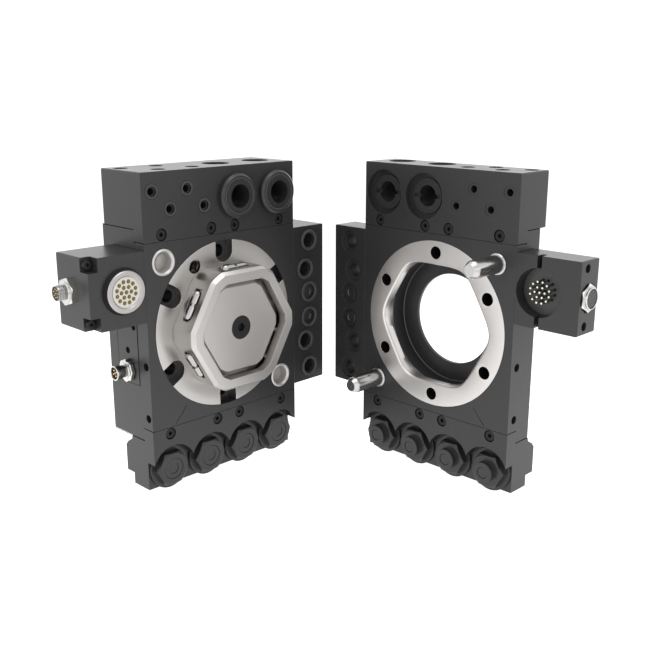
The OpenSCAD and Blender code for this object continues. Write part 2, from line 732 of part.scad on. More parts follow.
module master_air_module() color(black) on_master() air_module(1, master_air_depth);

module master_air_screws() color(dark) on_master() air_screws(1);

module master_air_seals() color(rubber) on_master() for (p = air_places(1)) at(p)
    o_ring(air_seal_d - 0.3, 3, 0);

module master_air_poppets() color(bright) on_master() for (p = poppet_places(1)) at(p) air_poppet();

// The housing of the master's contacts, notched for its two screws
module master_signal_housing() color(black) on_master() difference() {
    block([-half_w - signal_reach, -half_w], signal_v, [-master_signal_depth, 0]);
    for (v = [[signal_v[0] - cut, signal_v[0] + 11.6], [signal_v[1] - 11.1, signal_v[1] + cut]])
        box([-half_w - signal_reach - cut, 8.7 - half_w - signal_reach], v, [-11, cut]);
    for (v = notch_screw_v) at([4.4 - half_w - signal_reach, v]) rod(4 + 2 * seat_gap, -30, 0, 24);
    at([-contact_u, contact_v]) rod(2 * bezel_r + 2 * seat_gap, -bezel_seat, cut);
    facing_left(-half_w - signal_reach, plug_v, -plug_w) rod(plug_d + 2 * seat_gap, -10.5, cut);
    housing_screw_holes(-half_w);
}

// Dowels in the joint between a body and the housing beside it
module housing_screw_holes(u)
    for (v = [signal_v[0] + 8, signal_v[1] - 8]) translate([u, v, -34]) rotate([0, 90, 0])
        rod(5 + 2 * seat_gap, -11, 11, 24);

module master_signal_screws() color(bright) on_master() {
    for (v = notch_screw_v) at([4.4 - half_w - signal_reach, v])
        socket_screw(7, 4, 4, -7, -29, 3);
    for (v = [signal_v[0] + 8, signal_v[1] - 8]) translate([-half_w, v, -34])
        rotate([0, 90, 0]) rod(5, -10, 10, 24);
}

module contact_bezel() color(pale) on_master() at([-contact_u, contact_v])
    rotate_extrude() polygon([[disc_r + seat_gap, -bezel_seat], [bezel_r, -bezel_seat],
        [bezel_r, bezel_h - 0.8], [bezel_r - 0.8, bezel_h], [disc_r + 1.2, bezel_h],
        [disc_r + seat_gap, bezel_h - 1]]);

module contact_disc() color(pale) on_master() at([-contact_u, contact_v]) difference() {
    rod(2 * disc_r, -bezel_seat, bezel_h - 1);
    for (c = contact_ring) at(c) rod(pad_d + 2 * seat_gap, -2, bezel_h, 24);
}

module contact_pads() color(gold) on_master() at([-contact_u, contact_v])
    for (c = contact_ring) at(c) rod(pad_d, -2, bezel_h - 0.8, 24);

// The lip seal that closes on the tool half's recess
module contact_seal() color(rubber) on_master() at([-contact_u, contact_v])
    rotate_extrude() polygon([[bezel_r + seat_gap, 0], [bezel_r + 1.9, 0],
        [bezel_r + 0.5, bezel_h - 1.2], [bezel_r + seat_gap, bezel_h - 1.2]]);

// A threaded connector shell on a hexagonal nut: nut and tube along +w of its frame
module plug_shell(reach, depth, nut_h)
    difference() {
        union() {
            rod(plug_d, -depth, reach, 48);
            rotate(30) rod(plug_nut / cos(30), 0, nut_h, 6);
        }
        rod(plug_d - 2.4, reach - 8, reach + cut, 48);
    }

module signal_plug_shell() color(bright) on_master()
    facing_left(-half_w - signal_reach, plug_v, -plug_w) plug_shell(plug_reach, 10, 4.7);

// The connector's insert and its ring of pins, joined as they are moulded
module plug_pins(reach, count)
    for (i = [0:count - 1]) rotate(360 / count * i) at([count > 5 ? 2.75 : 2.3, 0])
        rod(1, reach - 8, reach - 1.5, 16);

module signal_plug_pins() color(gold) on_master()
    facing_left(-half_w - signal_reach, plug_v, -plug_w) plug_pins(plug_reach, 8);

// The cover plate over the piston sensors
module sensor_cover() color(black) on_master() translate([-half_w, 0, 0]) difference() {
    box([-1.2, 0], [-41.8, signal_v[0] - 0.4], [-45, -15.5]);
    facing_left(0, sensor_v, -sensor_w) rod(plug_d + 2 * seat_gap, -1, 2);
    for (p = sensor_screw_places) facing_left(0, p[0], -p[1]) rod(3 + 2 * seat_gap, -1, 2, 24);
}

module sensor_cover_screws() color(dark) on_master() for (p = sensor_screw_places)
    facing_left(-half_w, p[0], -p[1]) socket_screw(6, 2, 3, 3.2, -8, 2.5);

// The sensor connector, its nut scalloped for the fingers
module sensor_plug_shell() color(bright) on_master()
    facing_left(-half_w, sensor_v, -sensor_w) difference() {
        union() {
            rod(plug_d, -11.5, sensor_reach, 48);
            difference() {
                rod(plug_nut - 1, 1.2, 5.2, 48);
                for (a = [0:30:330]) rotate(a) at([plug_nut / 2 + 0.3, 0]) rod(2.6, 0, 6, 16);
            }
        }
        rod(plug_d - 2.4, sensor_reach - 8, sensor_reach + cut, 48);
    }

module sensor_plug_pins() color(gold) on_master()
    facing_left(-half_w, sensor_v, -sensor_w) plug_pins(sensor_reach, 4);

module master_bottom_block() color(black) on_master() bottom_block();

module master_bottom_screws() color(dark) on_master() block_screws_at(-lap_bottom - block_screw_v);

// A coupling body: washer, hexagon and shank; bore takes the valve
module coupling_body(bore_d, nipple) difference() {
    union() {
        rod(2 * washer_r, -scallop_depth, 2.4 - scallop_depth);
        intersection() {
            rod(coupling_af / cos(30), -scallop_depth, coupling_front, 6);
            rotate_extrude() polygon([[0, -scallop_depth], [coupling_af / 2 + 4, -scallop_depth],
                [coupling_af / 2 + 4, coupling_front - 2.6], [coupling_af / 2 - 0.5, coupling_front],
                [0, coupling_front]]);
        }
        rod(coupling_shank_d, -coupling_depth, -scallop_depth);
        if (nipple) rod(nipple_d, -1.5, nipple_h);
    }
    rod(bore_d, -valve_depth, nipple_h + cut);
    rod(7, -coupling_depth - cut, 0, 32);
}

module master_couplings() color(dark) on_master() for (p = coupling_places) at(p)
    coupling_body(nipple_d + 2 * running_gap, false);

// Flush shutters that the tool's nipples push in
module coupling_shutters() color(dark) on_master() for (p = coupling_places) at(p)
    difference() {
        rod(nipple_d, -valve_depth + shutter_travel + 1, -1.3);
        rod(poppet_r * 2, -1.9, cut);
        rod(6, -valve_depth, -valve_depth + shutter_travel + 8, 32);
    }

// ---------- tool half ----------

module tool_body() color(black) on_tool() difference() {
    body_plate(tool_depth);
    rod(flange_d + 2 * seat_gap, -ring_t, cut, 128);
    rod(2 * ring_corner_r, tool_web_t - tool_depth, 0, 96);
    rod(pilot_d, -tool_depth - cut, 0, 96);
    for (a = bolt_angles) rotate(a) at([bolt_r, 0]) rod(bolt_hole_d, -tool_depth - cut, 0);
    for (a = screw_angles) rotate(a) at([flange_screw_r, 0]) {
        rod(6 + 2 * seat_gap, -tool_depth - cut, 0, 32);
        rod(10, -tool_depth - cut, 7 - tool_depth, 32);
    }
    for (p = pin_places) at(p) rod(guide_pin_d + 2 * seat_gap, -22, cut);
    block_screw_holes(lap_top + block_screw_v);
    block_screw_holes(-lap_bottom - block_screw_v);
    air_screw_holes(-1);
    for (v = [-22.8, -67.9]) facing_right(half_w, v, -8.5) rod(7, -10, cut, 32);
    for (v = tool_housing_screw_v) translate([half_w, v, -tool_signal_depth / 2 - 6])
        rotate([0, 90, 0]) rod(5 + 2 * seat_gap, -11, cut, 24);
    wiring_groove(1);
}

// The ring whose undercut ledge the rollers press against
module tool_lock_ring() color(steel) on_tool() difference() {
    rod(flange_d, -ring_t, 0, 128);
    ledge_end = -ring_lip - ring_corner_r + ring_apothem;
    hexagon([[ring_apothem + ring_bevel + cut, cut], [ring_apothem, -ring_bevel],
            [ring_apothem, -ring_lip], [ring_corner_r, ledge_end], [ring_corner_r, -ring_t - cut]],
        [[ring_corner_r + ring_bevel + cut, cut], [ring_corner_r, -ring_bevel],
            [ring_corner_r, -ring_t - cut]]);
    for (a = bolt_angles) rotate(a) at([bolt_r, 0]) rod(bolt_hole_d, -ring_t - cut, cut);
    for (a = screw_angles) rotate(a) at([flange_screw_r, 0])
        rod(6 + 2 * seat_gap, -ring_t - cut, -3, 32);
}

module lock_ring_screws() color(dark) on_tool() for (a = screw_angles) rotate(a)
    at([flange_screw_r, 0]) translate([0, 0, -tool_depth]) rotate([180, 0, 0])
        socket_screw(9.6, 6, 6, -0.6, -tool_depth + 4, 5);

// Pins with a collar at the root and a turned lead at the tip
module guide_pins() color(bright) on_tool() for (p = pin_places) at(p)
    rotate_extrude() polygon([[0, -21], [guide_pin_d / 2, -21], [guide_pin_d / 2, 0],
        [guide_collar_d / 2, 0], [guide_collar_d / 2, 1.2], [guide_collar_d / 2 - 0.6, 1.8],
        [guide_pin_d / 2, 1.8], [guide_pin_d / 2, guide_pin_h - 5],
        [guide_pin_d / 2 - 0.8, guide_pin_h - 2.6], [guide_pin_d / 2 - 2.6, guide_pin_h],
        [0, guide_pin_h]]);

module tool_top_block() color(black) on_tool() difference() {
    top_block(tool_top_depth);
    for (u = block_screws()) at([u, lap_top + block_screw_v]) block_screw_seat();
    for (p = large_ports) {
        at(mate(p)) rod(collar_d + 2 * running_gap + 0.4, -collar_h - 0.5, cut);
        at(mate(p)) rod(insert_d + 2 * seat_gap, 1 - collar_h - insert_t, 0);
        at(mate(p)) rod(large_bore_d - 2, -tool_hose_w - 5, 0);
        hose_port(-p[0], p[1], tool_hose_w);
    }
    for (i = [0:3]) {
        at(mate(small_ports[i])) rod(small_bore_d, -tool_small_tops[i] - 3, cut, 32);
        at(mate(small_ports[i])) rod(small_seal_d - 1.4, -0.6, cut);
        top_drill(-small_ports[i][0], small_ports[i][1] - 1, tool_small_tops[i], small_hose_d);
    }
}

module tool_top_screws() color(dark) on_tool() block_screws_at(lap_top + block_screw_v);

// Threaded seats at the bottom of the sockets, each with a keyway
module tool_port_inserts() color(dark) on_tool() for (p = large_ports) at(mate(p)) difference() {
    rod(insert_d, 1 - collar_h - insert_t, 1 - collar_h);
    rod(large_bore_d - 2, -collar_h - insert_t, cut);
    box([-insert_d / 2, insert_d / 2], [-1.6, 1.6], [-collar_h - 1.5, cut]);
}

module tool_air_module() color(black) on_tool() air_module(-1, tool_air_depth);

module tool_air_screws() color(dark) on_tool() air_screws(-1);

module tool_air_poppets() color(bright) on_tool() for (p = poppet_places(-1)) at(p) air_poppet();

// The tool's contact housing: a bracket against the body and the contact head, slotted between
module tool_signal_housing() color(black) on_tool() difference() {
    block([half_w, half_w + tool_signal_reach], [signal_v[0] + 0.6, signal_v[1]],
        [-tool_signal_depth, 0]);
    for (v = [[signal_v[0] - cut, signal_v[0] + 10], [signal_v[1] - 9.5, signal_v[1] + cut]])
        box([half_w + 18.2, half_w + 22.3], v, [-8, cut]);
    at([contact_u, contact_v]) rod(2 * recess_r, -recess_depth - 12.5, cut);
    facing_right(half_w + tool_signal_reach, contact_v, -socket_w) rod(plug_d + 2 * seat_gap, -13, cut);
    facing_right(half_w + tool_signal_reach, contact_v, -socket_w) rod(plug_nut / cos(30) + 2 * seat_gap, -1.2, cut);
    for (v = [signal_v[0] + 7.4, signal_v[1] - 6.1])
        facing_right(half_w + tool_signal_reach, v, -9.3) rod(7, -12, cut, 32);
    for (v = tool_housing_screw_v) translate([half_w, v, -tool_signal_depth / 2 - 6])
        rotate([0, 90, 0]) rod(5 + 2 * seat_gap, -cut, 11, 24);
}

// The insulator that carries the spring pins
module pin_carrier() color(black) on_tool() at([contact_u, contact_v]) difference() {
    rod(2 * recess_r - 2 * seat_gap, -recess_depth - 12.5, -recess_depth);
    for (c = contact_ring) at(c)
        rod(spring_pin_d + 2 * running_gap, -recess_depth - 11.5, cut, 24);
}

module spring_pins() color(gold) on_tool() at([contact_u, contact_v])
    for (c = contact_ring) at(c) {
        rod(spring_pin_d, -recess_depth - 11.2 + contact_travel, -2.8, 24);
        translate([0, 0, -2.8]) sphere(d = spring_pin_d, $fn = 24);
    }

module signal_socket_shell() color(bright) on_tool()
    facing_right(half_w + tool_signal_reach, contact_v, -socket_w) difference() {
        union() {
            rod(plug_d, -12, 1, 48);
            rod(plug_nut / cos(30), -1.2, 1.5, 6);
            rod(16, 1, 3.7, 48);
        }
        rod(plug_d - 2.6, -6, 4 + cut, 48);
    }

module signal_socket_insert() color(dark) on_tool()
    facing_right(half_w + tool_signal_reach, contact_v, -socket_w) difference() {
        rod(plug_d - 2.6 - 2 * seat_gap, -6, 2.9, 48);
        for (i = [0:7]) rotate(45 * i) at([2.75, 0]) rod(1.1, -3, 4, 16);
    }

module tool_bottom_block() color(black) on_tool() bottom_block();

module tool_bottom_screws() color(dark) on_tool() block_screws_at(-lap_bottom - block_screw_v);

module tool_couplings() color(dark) on_tool() for (p = coupling_places) at(p)
    coupling_body(2 * (poppet_r + running_gap), true);

module coupling_poppets() color(dark) on_tool() for (p = coupling_places) at(p)
    rod(2 * poppet_r, -valve_depth + poppet_travel + 1, nipple_h - 0.4, 48);

master_body();
master_flange();
flange_screws();
rear_cover();
rear_cover_screws();
lock_piston();
piston_seal();
lock_cam();
cam_screw();
lock_roller(1);  // lock_roller_1
lock_roller(2);  // lock_roller_2
lock_roller(3);  // lock_roller_3
lock_roller(4);  // lock_roller_4
lock_roller(5);  // lock_roller_5
lock_roller(6);  // lock_roller_6
guide_bushes();
master_top_block();
master_top_screws();
port_collars();
collar_seals();
master_port_seals();
master_air_module();
master_air_screws();
master_air_seals();
master_air_poppets();
master_signal_housing();
contact_bezel();
contact_disc();
contact_pads();
contact_seal();
master_signal_screws();
signal_plug_shell();
signal_plug_pins();
sensor_cover();
sensor_cover_screws();
sensor_plug_shell();
sensor_plug_pins();
master_bottom_block();
master_bottom_screws();
master_couplings();
coupling_shutters();
tool_body();
tool_lock_ring();
lock_ring_screws();
guide_pins();
tool_top_block();
tool_top_screws();
tool_port_inserts();
tool_air_module();
tool_air_screws();
tool_air_poppets();
tool_signal_housing();
pin_carrier();
spring_pins();
signal_socket_shell();
signal_socket_insert();
tool_bottom_block();
tool_bottom_screws();
tool_couplings();
coupling_poppets();
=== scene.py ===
# %% [markdown]
# # A robotic tool changer
# The object is a pair of machined plates that a robot uses to swap its grippers. The master half
# carries a hexagonal steel nose with six rollers in it, and the tool half a steel ring that the
# rollers lock behind. The solids come from the CAD frame, so this lesson is about finishes: what
# black anodised aluminium, ground steel and gold contacts look like, and how light shows them.

# %% Load the frame
import math

import bmesh
import bpy
from mathutils import Matrix, Vector


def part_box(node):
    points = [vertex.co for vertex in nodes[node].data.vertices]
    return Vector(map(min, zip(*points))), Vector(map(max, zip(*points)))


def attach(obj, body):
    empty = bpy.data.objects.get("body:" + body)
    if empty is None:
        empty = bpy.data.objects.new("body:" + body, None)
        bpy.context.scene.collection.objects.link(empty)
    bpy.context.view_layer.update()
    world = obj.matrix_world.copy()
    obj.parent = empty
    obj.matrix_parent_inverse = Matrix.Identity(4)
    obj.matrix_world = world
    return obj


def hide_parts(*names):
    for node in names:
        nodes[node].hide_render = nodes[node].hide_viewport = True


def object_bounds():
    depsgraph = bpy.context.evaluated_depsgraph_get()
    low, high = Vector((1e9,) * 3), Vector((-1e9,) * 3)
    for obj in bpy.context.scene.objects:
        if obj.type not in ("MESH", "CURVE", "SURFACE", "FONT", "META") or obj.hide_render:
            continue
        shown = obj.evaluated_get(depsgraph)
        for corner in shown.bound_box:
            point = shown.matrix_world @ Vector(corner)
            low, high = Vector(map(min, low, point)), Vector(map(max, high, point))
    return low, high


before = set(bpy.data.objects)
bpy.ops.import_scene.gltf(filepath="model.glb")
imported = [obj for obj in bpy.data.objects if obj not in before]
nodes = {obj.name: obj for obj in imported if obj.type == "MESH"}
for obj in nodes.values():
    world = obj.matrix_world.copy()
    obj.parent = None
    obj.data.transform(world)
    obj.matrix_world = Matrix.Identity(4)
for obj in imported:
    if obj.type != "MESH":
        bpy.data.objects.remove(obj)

cad_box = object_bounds()
print("CAD box", [[round(v, 4) for v in corner] for corner in cad_box])

# %% [markdown]
# ## Smooth where it is round, crisp where it is cut
# The frame's meshes come as flat triangles. A turned pin should shade as one round surface, while
# the edge between two machined faces has to stay sharp. Blender can split the two by angle: faces
# that meet at less than the limit share a normal, and the rest keep a hard edge. The vertices are
# untouched, so the sizes stay true.

# %% Shade the frame's meshes
SMOOTH_LIMIT = math.radians(28)
SAME_POINT = 1e-6


def smooth_by_angle(obj):
    """Joins doubled points, smooths every face, then parts the mesh at its sharp edges."""
    normals = obj.data.attributes.get("custom_normal")
    if normals:
        obj.data.attributes.remove(normals)
    obj.data.shade_smooth()
    weld = obj.modifiers.new("weld", "WELD")
    weld.merge_threshold = SAME_POINT
    split = obj.modifiers.new("sharp edges", "EDGE_SPLIT")
    split.split_angle = SMOOTH_LIMIT
    split.use_edge_sharp = False


for part in nodes.values():
    smooth_by_angle(part)
print("shaded", len(nodes), "meshes")

# %% [markdown]
# ## A short way to write node trees
# Every finish here is a small network of shader nodes. Written out in full, each node takes several
# lines, so one helper makes a node and fills in its sockets and settings by name. A socket takes
# either a plain value or a link from another socket, and the helper tells the two apart.

# %% Node helpers


def feed(tree, socket, value):
    """Gives an input a plain value, or links it to another node's output."""
    if isinstance(value, bpy.types.NodeSocket):
        tree.links.new(value, socket)
    else:
        socket.default_value = value


def feed_all(tree, node, **values):
    """Feeds a node's inputs by name. A name with a space in Blender is written with _ here."""
    for key, value in values.items():
        feed(tree, node.inputs[key.replace("_", " ")], value)


def add_node(tree, kind, *inputs, **settings):
    """Makes a node: inputs are fed in order, and settings name other inputs or properties."""
    made = tree.nodes.new(kind)
    for socket, value in zip(made.inputs, inputs):
        feed(tree, socket, value)
    for key, value in settings.items():
        if key.replace("_", " ") in made.inputs:
            feed_all(tree, made, **{key: value})
        else:
            setattr(made, key, value)
    return made


def new_group(name, inputs, outputs):
    """An empty shader node group with named sockets: (tree, its input node, its output node)."""
    tree = bpy.data.node_groups.new(name, "ShaderNodeTree")
    for label, kind, value in inputs:
        socket = tree.interface.new_socket(label, in_out="INPUT", socket_type=kind)
        if value is not None:
            socket.default_value = value
    for label, kind in outputs:
        tree.interface.new_socket(label, in_out="OUTPUT", socket_type=kind)
    return tree, tree.nodes.new("NodeGroupInput"), tree.nodes.new("NodeGroupOutput")


def place_group(tree, group, **values):
    """Puts a group into a material's tree with this finish's own values."""
    made = add_node(tree, "ShaderNodeGroup", node_tree=group)
    feed_all(tree, made, **values)
    return made


def maths(tree, operation, *values):
    """A Math node whose inputs are numbers or other sockets; returns its output."""
    return add_node(tree, "ShaderNodeMath", *values, operation=operation).outputs[0]


print("node helpers ready")

# %% [markdown]
# ## Broken edges
# No machined edge is perfectly sharp: each has a small chamfer that catches a line of light, and on
# an anodised part the coating wears thin there first. The Bevel node gives the normal that such a
# chamfer would have without adding geometry. Where that normal differs from the true one, we are
# near an edge, which makes a mask that lightens the colour there: partly wear, partly a painted
# highlight.

# %% Group: broken edge
FLOAT, VECTOR = "NodeSocketFloat", "NodeSocketVector"
# gain and spread of the edge mask that lightens the colour: partly wear, partly a painted highlight
WEAR_AND_HIGHLIGHT_GAIN, WEAR_AND_HIGHLIGHT_UNEVEN, WEAR_AND_HIGHLIGHT_LEAST = 4.0, 1.4, 0.2


def make_broken_edge():
    tree, given, result = new_group(
        "Broken edge", [("Radius", FLOAT, 0.0006), ("Breakup", FLOAT, 400.0)],
        [("Normal", VECTOR), ("Edge", FLOAT)])
    bevel = add_node(tree, "ShaderNodeBevel", samples=4, Radius=given.outputs["Radius"])
    geometry = add_node(tree, "ShaderNodeNewGeometry")
    agree = add_node(tree, "ShaderNodeVectorMath", bevel.outputs["Normal"],
                     geometry.outputs["Normal"], operation="DOT_PRODUCT")
    bend = maths(tree, "SUBTRACT", 1.0, agree.outputs["Value"])
    place = add_node(tree, "ShaderNodeTexCoord")
    noise = add_node(tree, "ShaderNodeTexNoise", Vector=place.outputs["Object"],
                     Scale=given.outputs["Breakup"], Detail=3.0)
    uneven = maths(tree, "MULTIPLY_ADD", noise.outputs["Fac"], WEAR_AND_HIGHLIGHT_UNEVEN, WEAR_AND_HIGHLIGHT_LEAST)
    wear_and_highlight = maths(tree, "MULTIPLY", maths(tree, "MULTIPLY", bend, WEAR_AND_HIGHLIGHT_GAIN), uneven)
    feed_all(tree, result, Edge=maths(tree, "MINIMUM", wear_and_highlight, 1.0), Normal=bevel.outputs["Normal"])
    return tree


BROKEN_EDGE = make_broken_edge()
print("made group", BROKEN_EDGE.name)

# %% [markdown]
# ## Blasted grain
# The plates are bead blasted before they are anodised, which leaves a fine even roughness, about a
# fifth of a millimetre across, and slow cloudy changes of gloss where hands and rags have been.
# Two noises at very different scales give both. They feed roughness and a tiny bump.

# %% Group: blasted grain
SPECK = 0.05


def make_blasted_grain():
    tree, given, result = new_group(
        "Blasted grain",
        [("Grain scale", FLOAT, 5000.0), ("Cloud scale", FLOAT, 16.0),
         ("Gloss", FLOAT, 0.4), ("Gloss change", FLOAT, 0.1)],
        [("Height", FLOAT), ("Roughness", FLOAT), ("Cloud", FLOAT)])
    place = add_node(tree, "ShaderNodeTexCoord").outputs["Object"]
    grain = add_node(tree, "ShaderNodeTexNoise", Vector=place, Detail=2.0,
                     Scale=given.outputs["Grain scale"])
    cloud = add_node(tree, "ShaderNodeTexNoise", Vector=place, Detail=5.0, Roughness=0.6,
                     Scale=given.outputs["Cloud scale"])
    swing = maths(tree, "SUBTRACT", cloud.outputs["Fac"], 0.5)
    change = maths(tree, "MULTIPLY", swing, given.outputs["Gloss change"])
    speck = maths(tree, "MULTIPLY_ADD", grain.outputs["Fac"], SPECK, -SPECK / 2)
    rough = maths(tree, "ADD", maths(tree, "ADD", change, speck), given.outputs["Gloss"])
    feed_all(tree, result, Roughness=rough, Height=grain.outputs["Fac"],
             Cloud=cloud.outputs["Fac"])
    return tree


BLASTED_GRAIN = make_blasted_grain()
print("made group", BLASTED_GRAIN.name)

# %% [markdown]
# ## Turning marks
# A flange that is faced on a lathe keeps hair-fine circles round its axis. The distance from that
# axis, fed to a noise stretched along the circle, draws them. The axis is given as a point and a
# direction, so the same group serves both halves.

# %% Group: turning marks


def make_turning_marks():
    tree, given, result = new_group(
        "Turning marks",
        [("Centre", VECTOR, None), ("Flatten", VECTOR, None), ("Pitch", FLOAT, 2500.0)],
        [("Height", FLOAT)])
    place = add_node(tree, "ShaderNodeTexCoord")
    offset = add_node(tree, "ShaderNodeVectorMath", place.outputs["Object"],
                      given.outputs["Centre"], operation="SUBTRACT")
    flat = add_node(tree, "ShaderNodeVectorMath", offset.outputs[0], given.outputs["Flatten"],
                    operation="MULTIPLY")
    radius = add_node(tree, "ShaderNodeVectorMath", flat.outputs[0], operation="LENGTH")
    scaled = maths(tree, "MULTIPLY", radius.outputs["Value"], given.outputs["Pitch"])
    rings = add_node(tree, "ShaderNodeTexNoise", noise_dimensions="1D", W=scaled, Scale=1.0,
                     Detail=3.0)
    feed_all(tree, result, Height=rings.outputs["Fac"])
    return tree


TURNING_MARKS = make_turning_marks()
print("made group", TURNING_MARKS.name)

# %% [markdown]
# ## Dark in the depth
# Light hardly reaches the bottom of a bolt hole, so a real bore looks darker than the face around
# it. Here that shade is painted into the colour. The Ambient Occlusion node measures how closed in
# a point is. A Map Range turns that into a mask that leaves open faces alone and paints shade on
# the deep ones.

# %% Group: bore shade


def make_bore_shade():
    tree, given, result = new_group(
        "Bore shade", [("Reach", FLOAT, 0.006), ("Closed", FLOAT, 0.12), ("Open", FLOAT, 0.5)],
        [("Light", FLOAT)])
    nearby = add_node(tree, "ShaderNodeAmbientOcclusion", samples=6,
                      Distance=given.outputs["Reach"])
    spread = add_node(tree, "ShaderNodeMapRange", interpolation_type="SMOOTHSTEP",
                      Value=nearby.outputs["AO"], From_Min=given.outputs["Closed"],
                      From_Max=given.outputs["Open"])
    feed_all(tree, result, Light=spread.outputs["Result"])
    return tree


BORE_SHADE = make_bore_shade()
print("made group", BORE_SHADE.name)

# %% [markdown]
# ## From groups to a finish
# A material keeps its own Principled shader. What is the same all over, such as how metallic it is,
# is typed into the shader; what changes over the surface comes from the groups. One function wires
# the usual chain: grain height into a Bump, the broken edge as the Bump's normal, grain roughness
# and a colour that lightens at edges, partly as wear and partly as a painted highlight, and darkens
# in bores as painted shade.

# %% The finish builder
# the near black that painted shade takes in deep bores
BORE_PAINTED_SHADE = (0.006, 0.006, 0.006)
COLOUR_A, COLOUR_B, COLOUR_MIXED = 6, 7, 2  # the Mix node's own numbers for its colour sockets


def mix_colours(tree, factor, first, second):
    """A colour that goes from first to second with factor; returns the output socket."""
    mix = add_node(tree, "ShaderNodeMix", data_type="RGBA", Factor=factor)
    for number, value in ((COLOUR_A, first), (COLOUR_B, second)):
        feed(tree, mix.inputs[number], (*value, 1.0) if isinstance(value, tuple) else value)
    return mix.outputs[COLOUR_MIXED]


def finish(name, base, worn_and_lit, metallic, gloss, change=0.1, grain=5000.0, bump=0.00001,
           edge=0.0006, wear_and_highlight=0.5, cloud_colour=0.12, marks=None, mark_bump=0.0, bore=None,
           closed_at=0.12, open_at=0.5, specular=0.5):
    """A Principled finish with grain, cloudy gloss, broken edges and, for lathe work, rings."""
    material = bpy.data.materials.new(name)
    material.use_nodes = True
    tree = material.node_tree
    surface = place_group(tree, BLASTED_GRAIN, Grain_scale=grain, Gloss=gloss, Gloss_change=change)
    rim = place_group(tree, BROKEN_EDGE, Radius=edge)
    dull = tuple(value * (1.0 - cloud_colour) for value in base)
    clouded = mix_colours(tree, surface.outputs["Cloud"], dull, base)
    # edges lighten toward the second colour: partly wear, partly a painted highlight
    shown = maths(tree, "MULTIPLY", rim.outputs["Edge"], wear_and_highlight)
    colour = mix_colours(tree, shown, clouded, worn_and_lit)
    # painted shade: closed-in points darken toward the shade colour
    if bore:
        shade = place_group(tree, BORE_SHADE, Reach=bore, Closed=closed_at, Open=open_at)
        colour = mix_colours(tree, shade.outputs["Light"], BORE_PAINTED_SHADE, colour)
    last = add_node(tree, "ShaderNodeBump", Distance=bump, Height=surface.outputs["Height"],
                    Normal=rim.outputs["Normal"])
    if marks:
        rings = place_group(tree, TURNING_MARKS, Centre=marks[0], Flatten=marks[1])
        last = add_node(tree, "ShaderNodeBump", Distance=mark_bump,
                        Height=rings.outputs["Height"], Normal=last.outputs["Normal"])
    feed_all(tree, tree.nodes["Principled BSDF"], Base_Color=colour, Metallic=metallic,
             Roughness=surface.outputs["Roughness"], Specular_IOR_Level=specular,
             Normal=last.outputs["Normal"])
    return material


def paint(material, *names):
    """Gives frame nodes a finish in every one of their slots."""
    for name in names:
        slots = nodes[name].data.materials
        slots.clear()
        slots.append(material)


print("finish builder ready")

# %% [markdown]
# ## Black anodised aluminium
# The plates and housings are dyed black in the anodising bath. The oxide is a clear, slightly
# glossy skin over a dark pigment, so it behaves more like a plastic than a metal: a dark base
# colour, no metallic value and a satin roughness. The couplings are black too, so they take the
# same finish.

# %% Black anodised plates
MASTER_PLATES = ("master_body", "master_top_block", "master_air_module",
                 "master_signal_housing", "master_bottom_block", "rear_cover")
TOOL_PLATES = ("tool_body", "tool_top_block", "tool_air_module",
               "tool_signal_housing", "tool_bottom_block")
ANODISED = finish("black_anodised", base=(0.0185, 0.0185, 0.019), worn_and_lit=(0.028, 0.028, 0.028),
                  metallic=0.0, gloss=0.34, wear_and_highlight=0.3, specular=0.42)
paint(ANODISED, *MASTER_PLATES, *TOOL_PLATES)
print("painted", len(MASTER_PLATES) + len(TOOL_PLATES), "plates")

# %% [markdown]
# ## Ground and turned steel
# The nose, the cam and the lock ring are stainless steel, ground to a satin face. Each half has its
# own axis for the turning marks: the master's runs along Y, and the tool half's along X.

# %% Satin steel
TOOL_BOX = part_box("tool_lock_ring")


def box_centre(name):
    low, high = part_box(name)
    return tuple((a + b) / 2 for a, b in zip(low, high))


TOOL_CENTRE = box_centre("tool_lock_ring")
MASTER_AXIS = ((0.0, 0.0, 0.0), (1.0, 0.0, 1.0))
TOOL_AXIS = (TOOL_CENTRE, (0.0, 1.0, 1.0))
NOSE_STEEL, RING_STEEL = (0.50, 0.485, 0.47), (0.62, 0.60, 0.585)
# the lighter colour at steel edges: partly wear, partly a painted highlight
STEEL_EDGE = (0.78, 0.77, 0.75)
# Both steels take painted shade in their bores and pockets through bore.
MASTER_STEEL = finish("satin_steel_master", NOSE_STEEL, STEEL_EDGE, metallic=1.0, gloss=0.36,
                      change=0.08, bump=0.000008, cloud_colour=0.06, marks=MASTER_AXIS,
                      mark_bump=0.000004, wear_and_highlight=0.2, bore=0.006)
TOOL_STEEL = finish("satin_steel_tool", RING_STEEL, STEEL_EDGE, metallic=1.0, gloss=0.34,
                    change=0.08, bump=0.000008, cloud_colour=0.06, marks=TOOL_AXIS,
                    mark_bump=0.000004, wear_and_highlight=0.1, bore=0.006, closed_at=0.4, open_at=0.8)
paint(MASTER_STEEL, "master_flange", "lock_cam")
paint(TOOL_STEEL, "tool_lock_ring")
print("tool axis through", [round(v, 4) for v in TOOL_CENTRE])

# %% [markdown]
# ## Polished steel, black oxide and plating
# Rollers and pins are hardened and polished, so they mirror the room. The guide bushes are honed to
# a pale satin inside. The screws are blackened steel, darker and a little oily, and the connector
# shells are nickel plated, a warmer and softer shine than the rollers have.

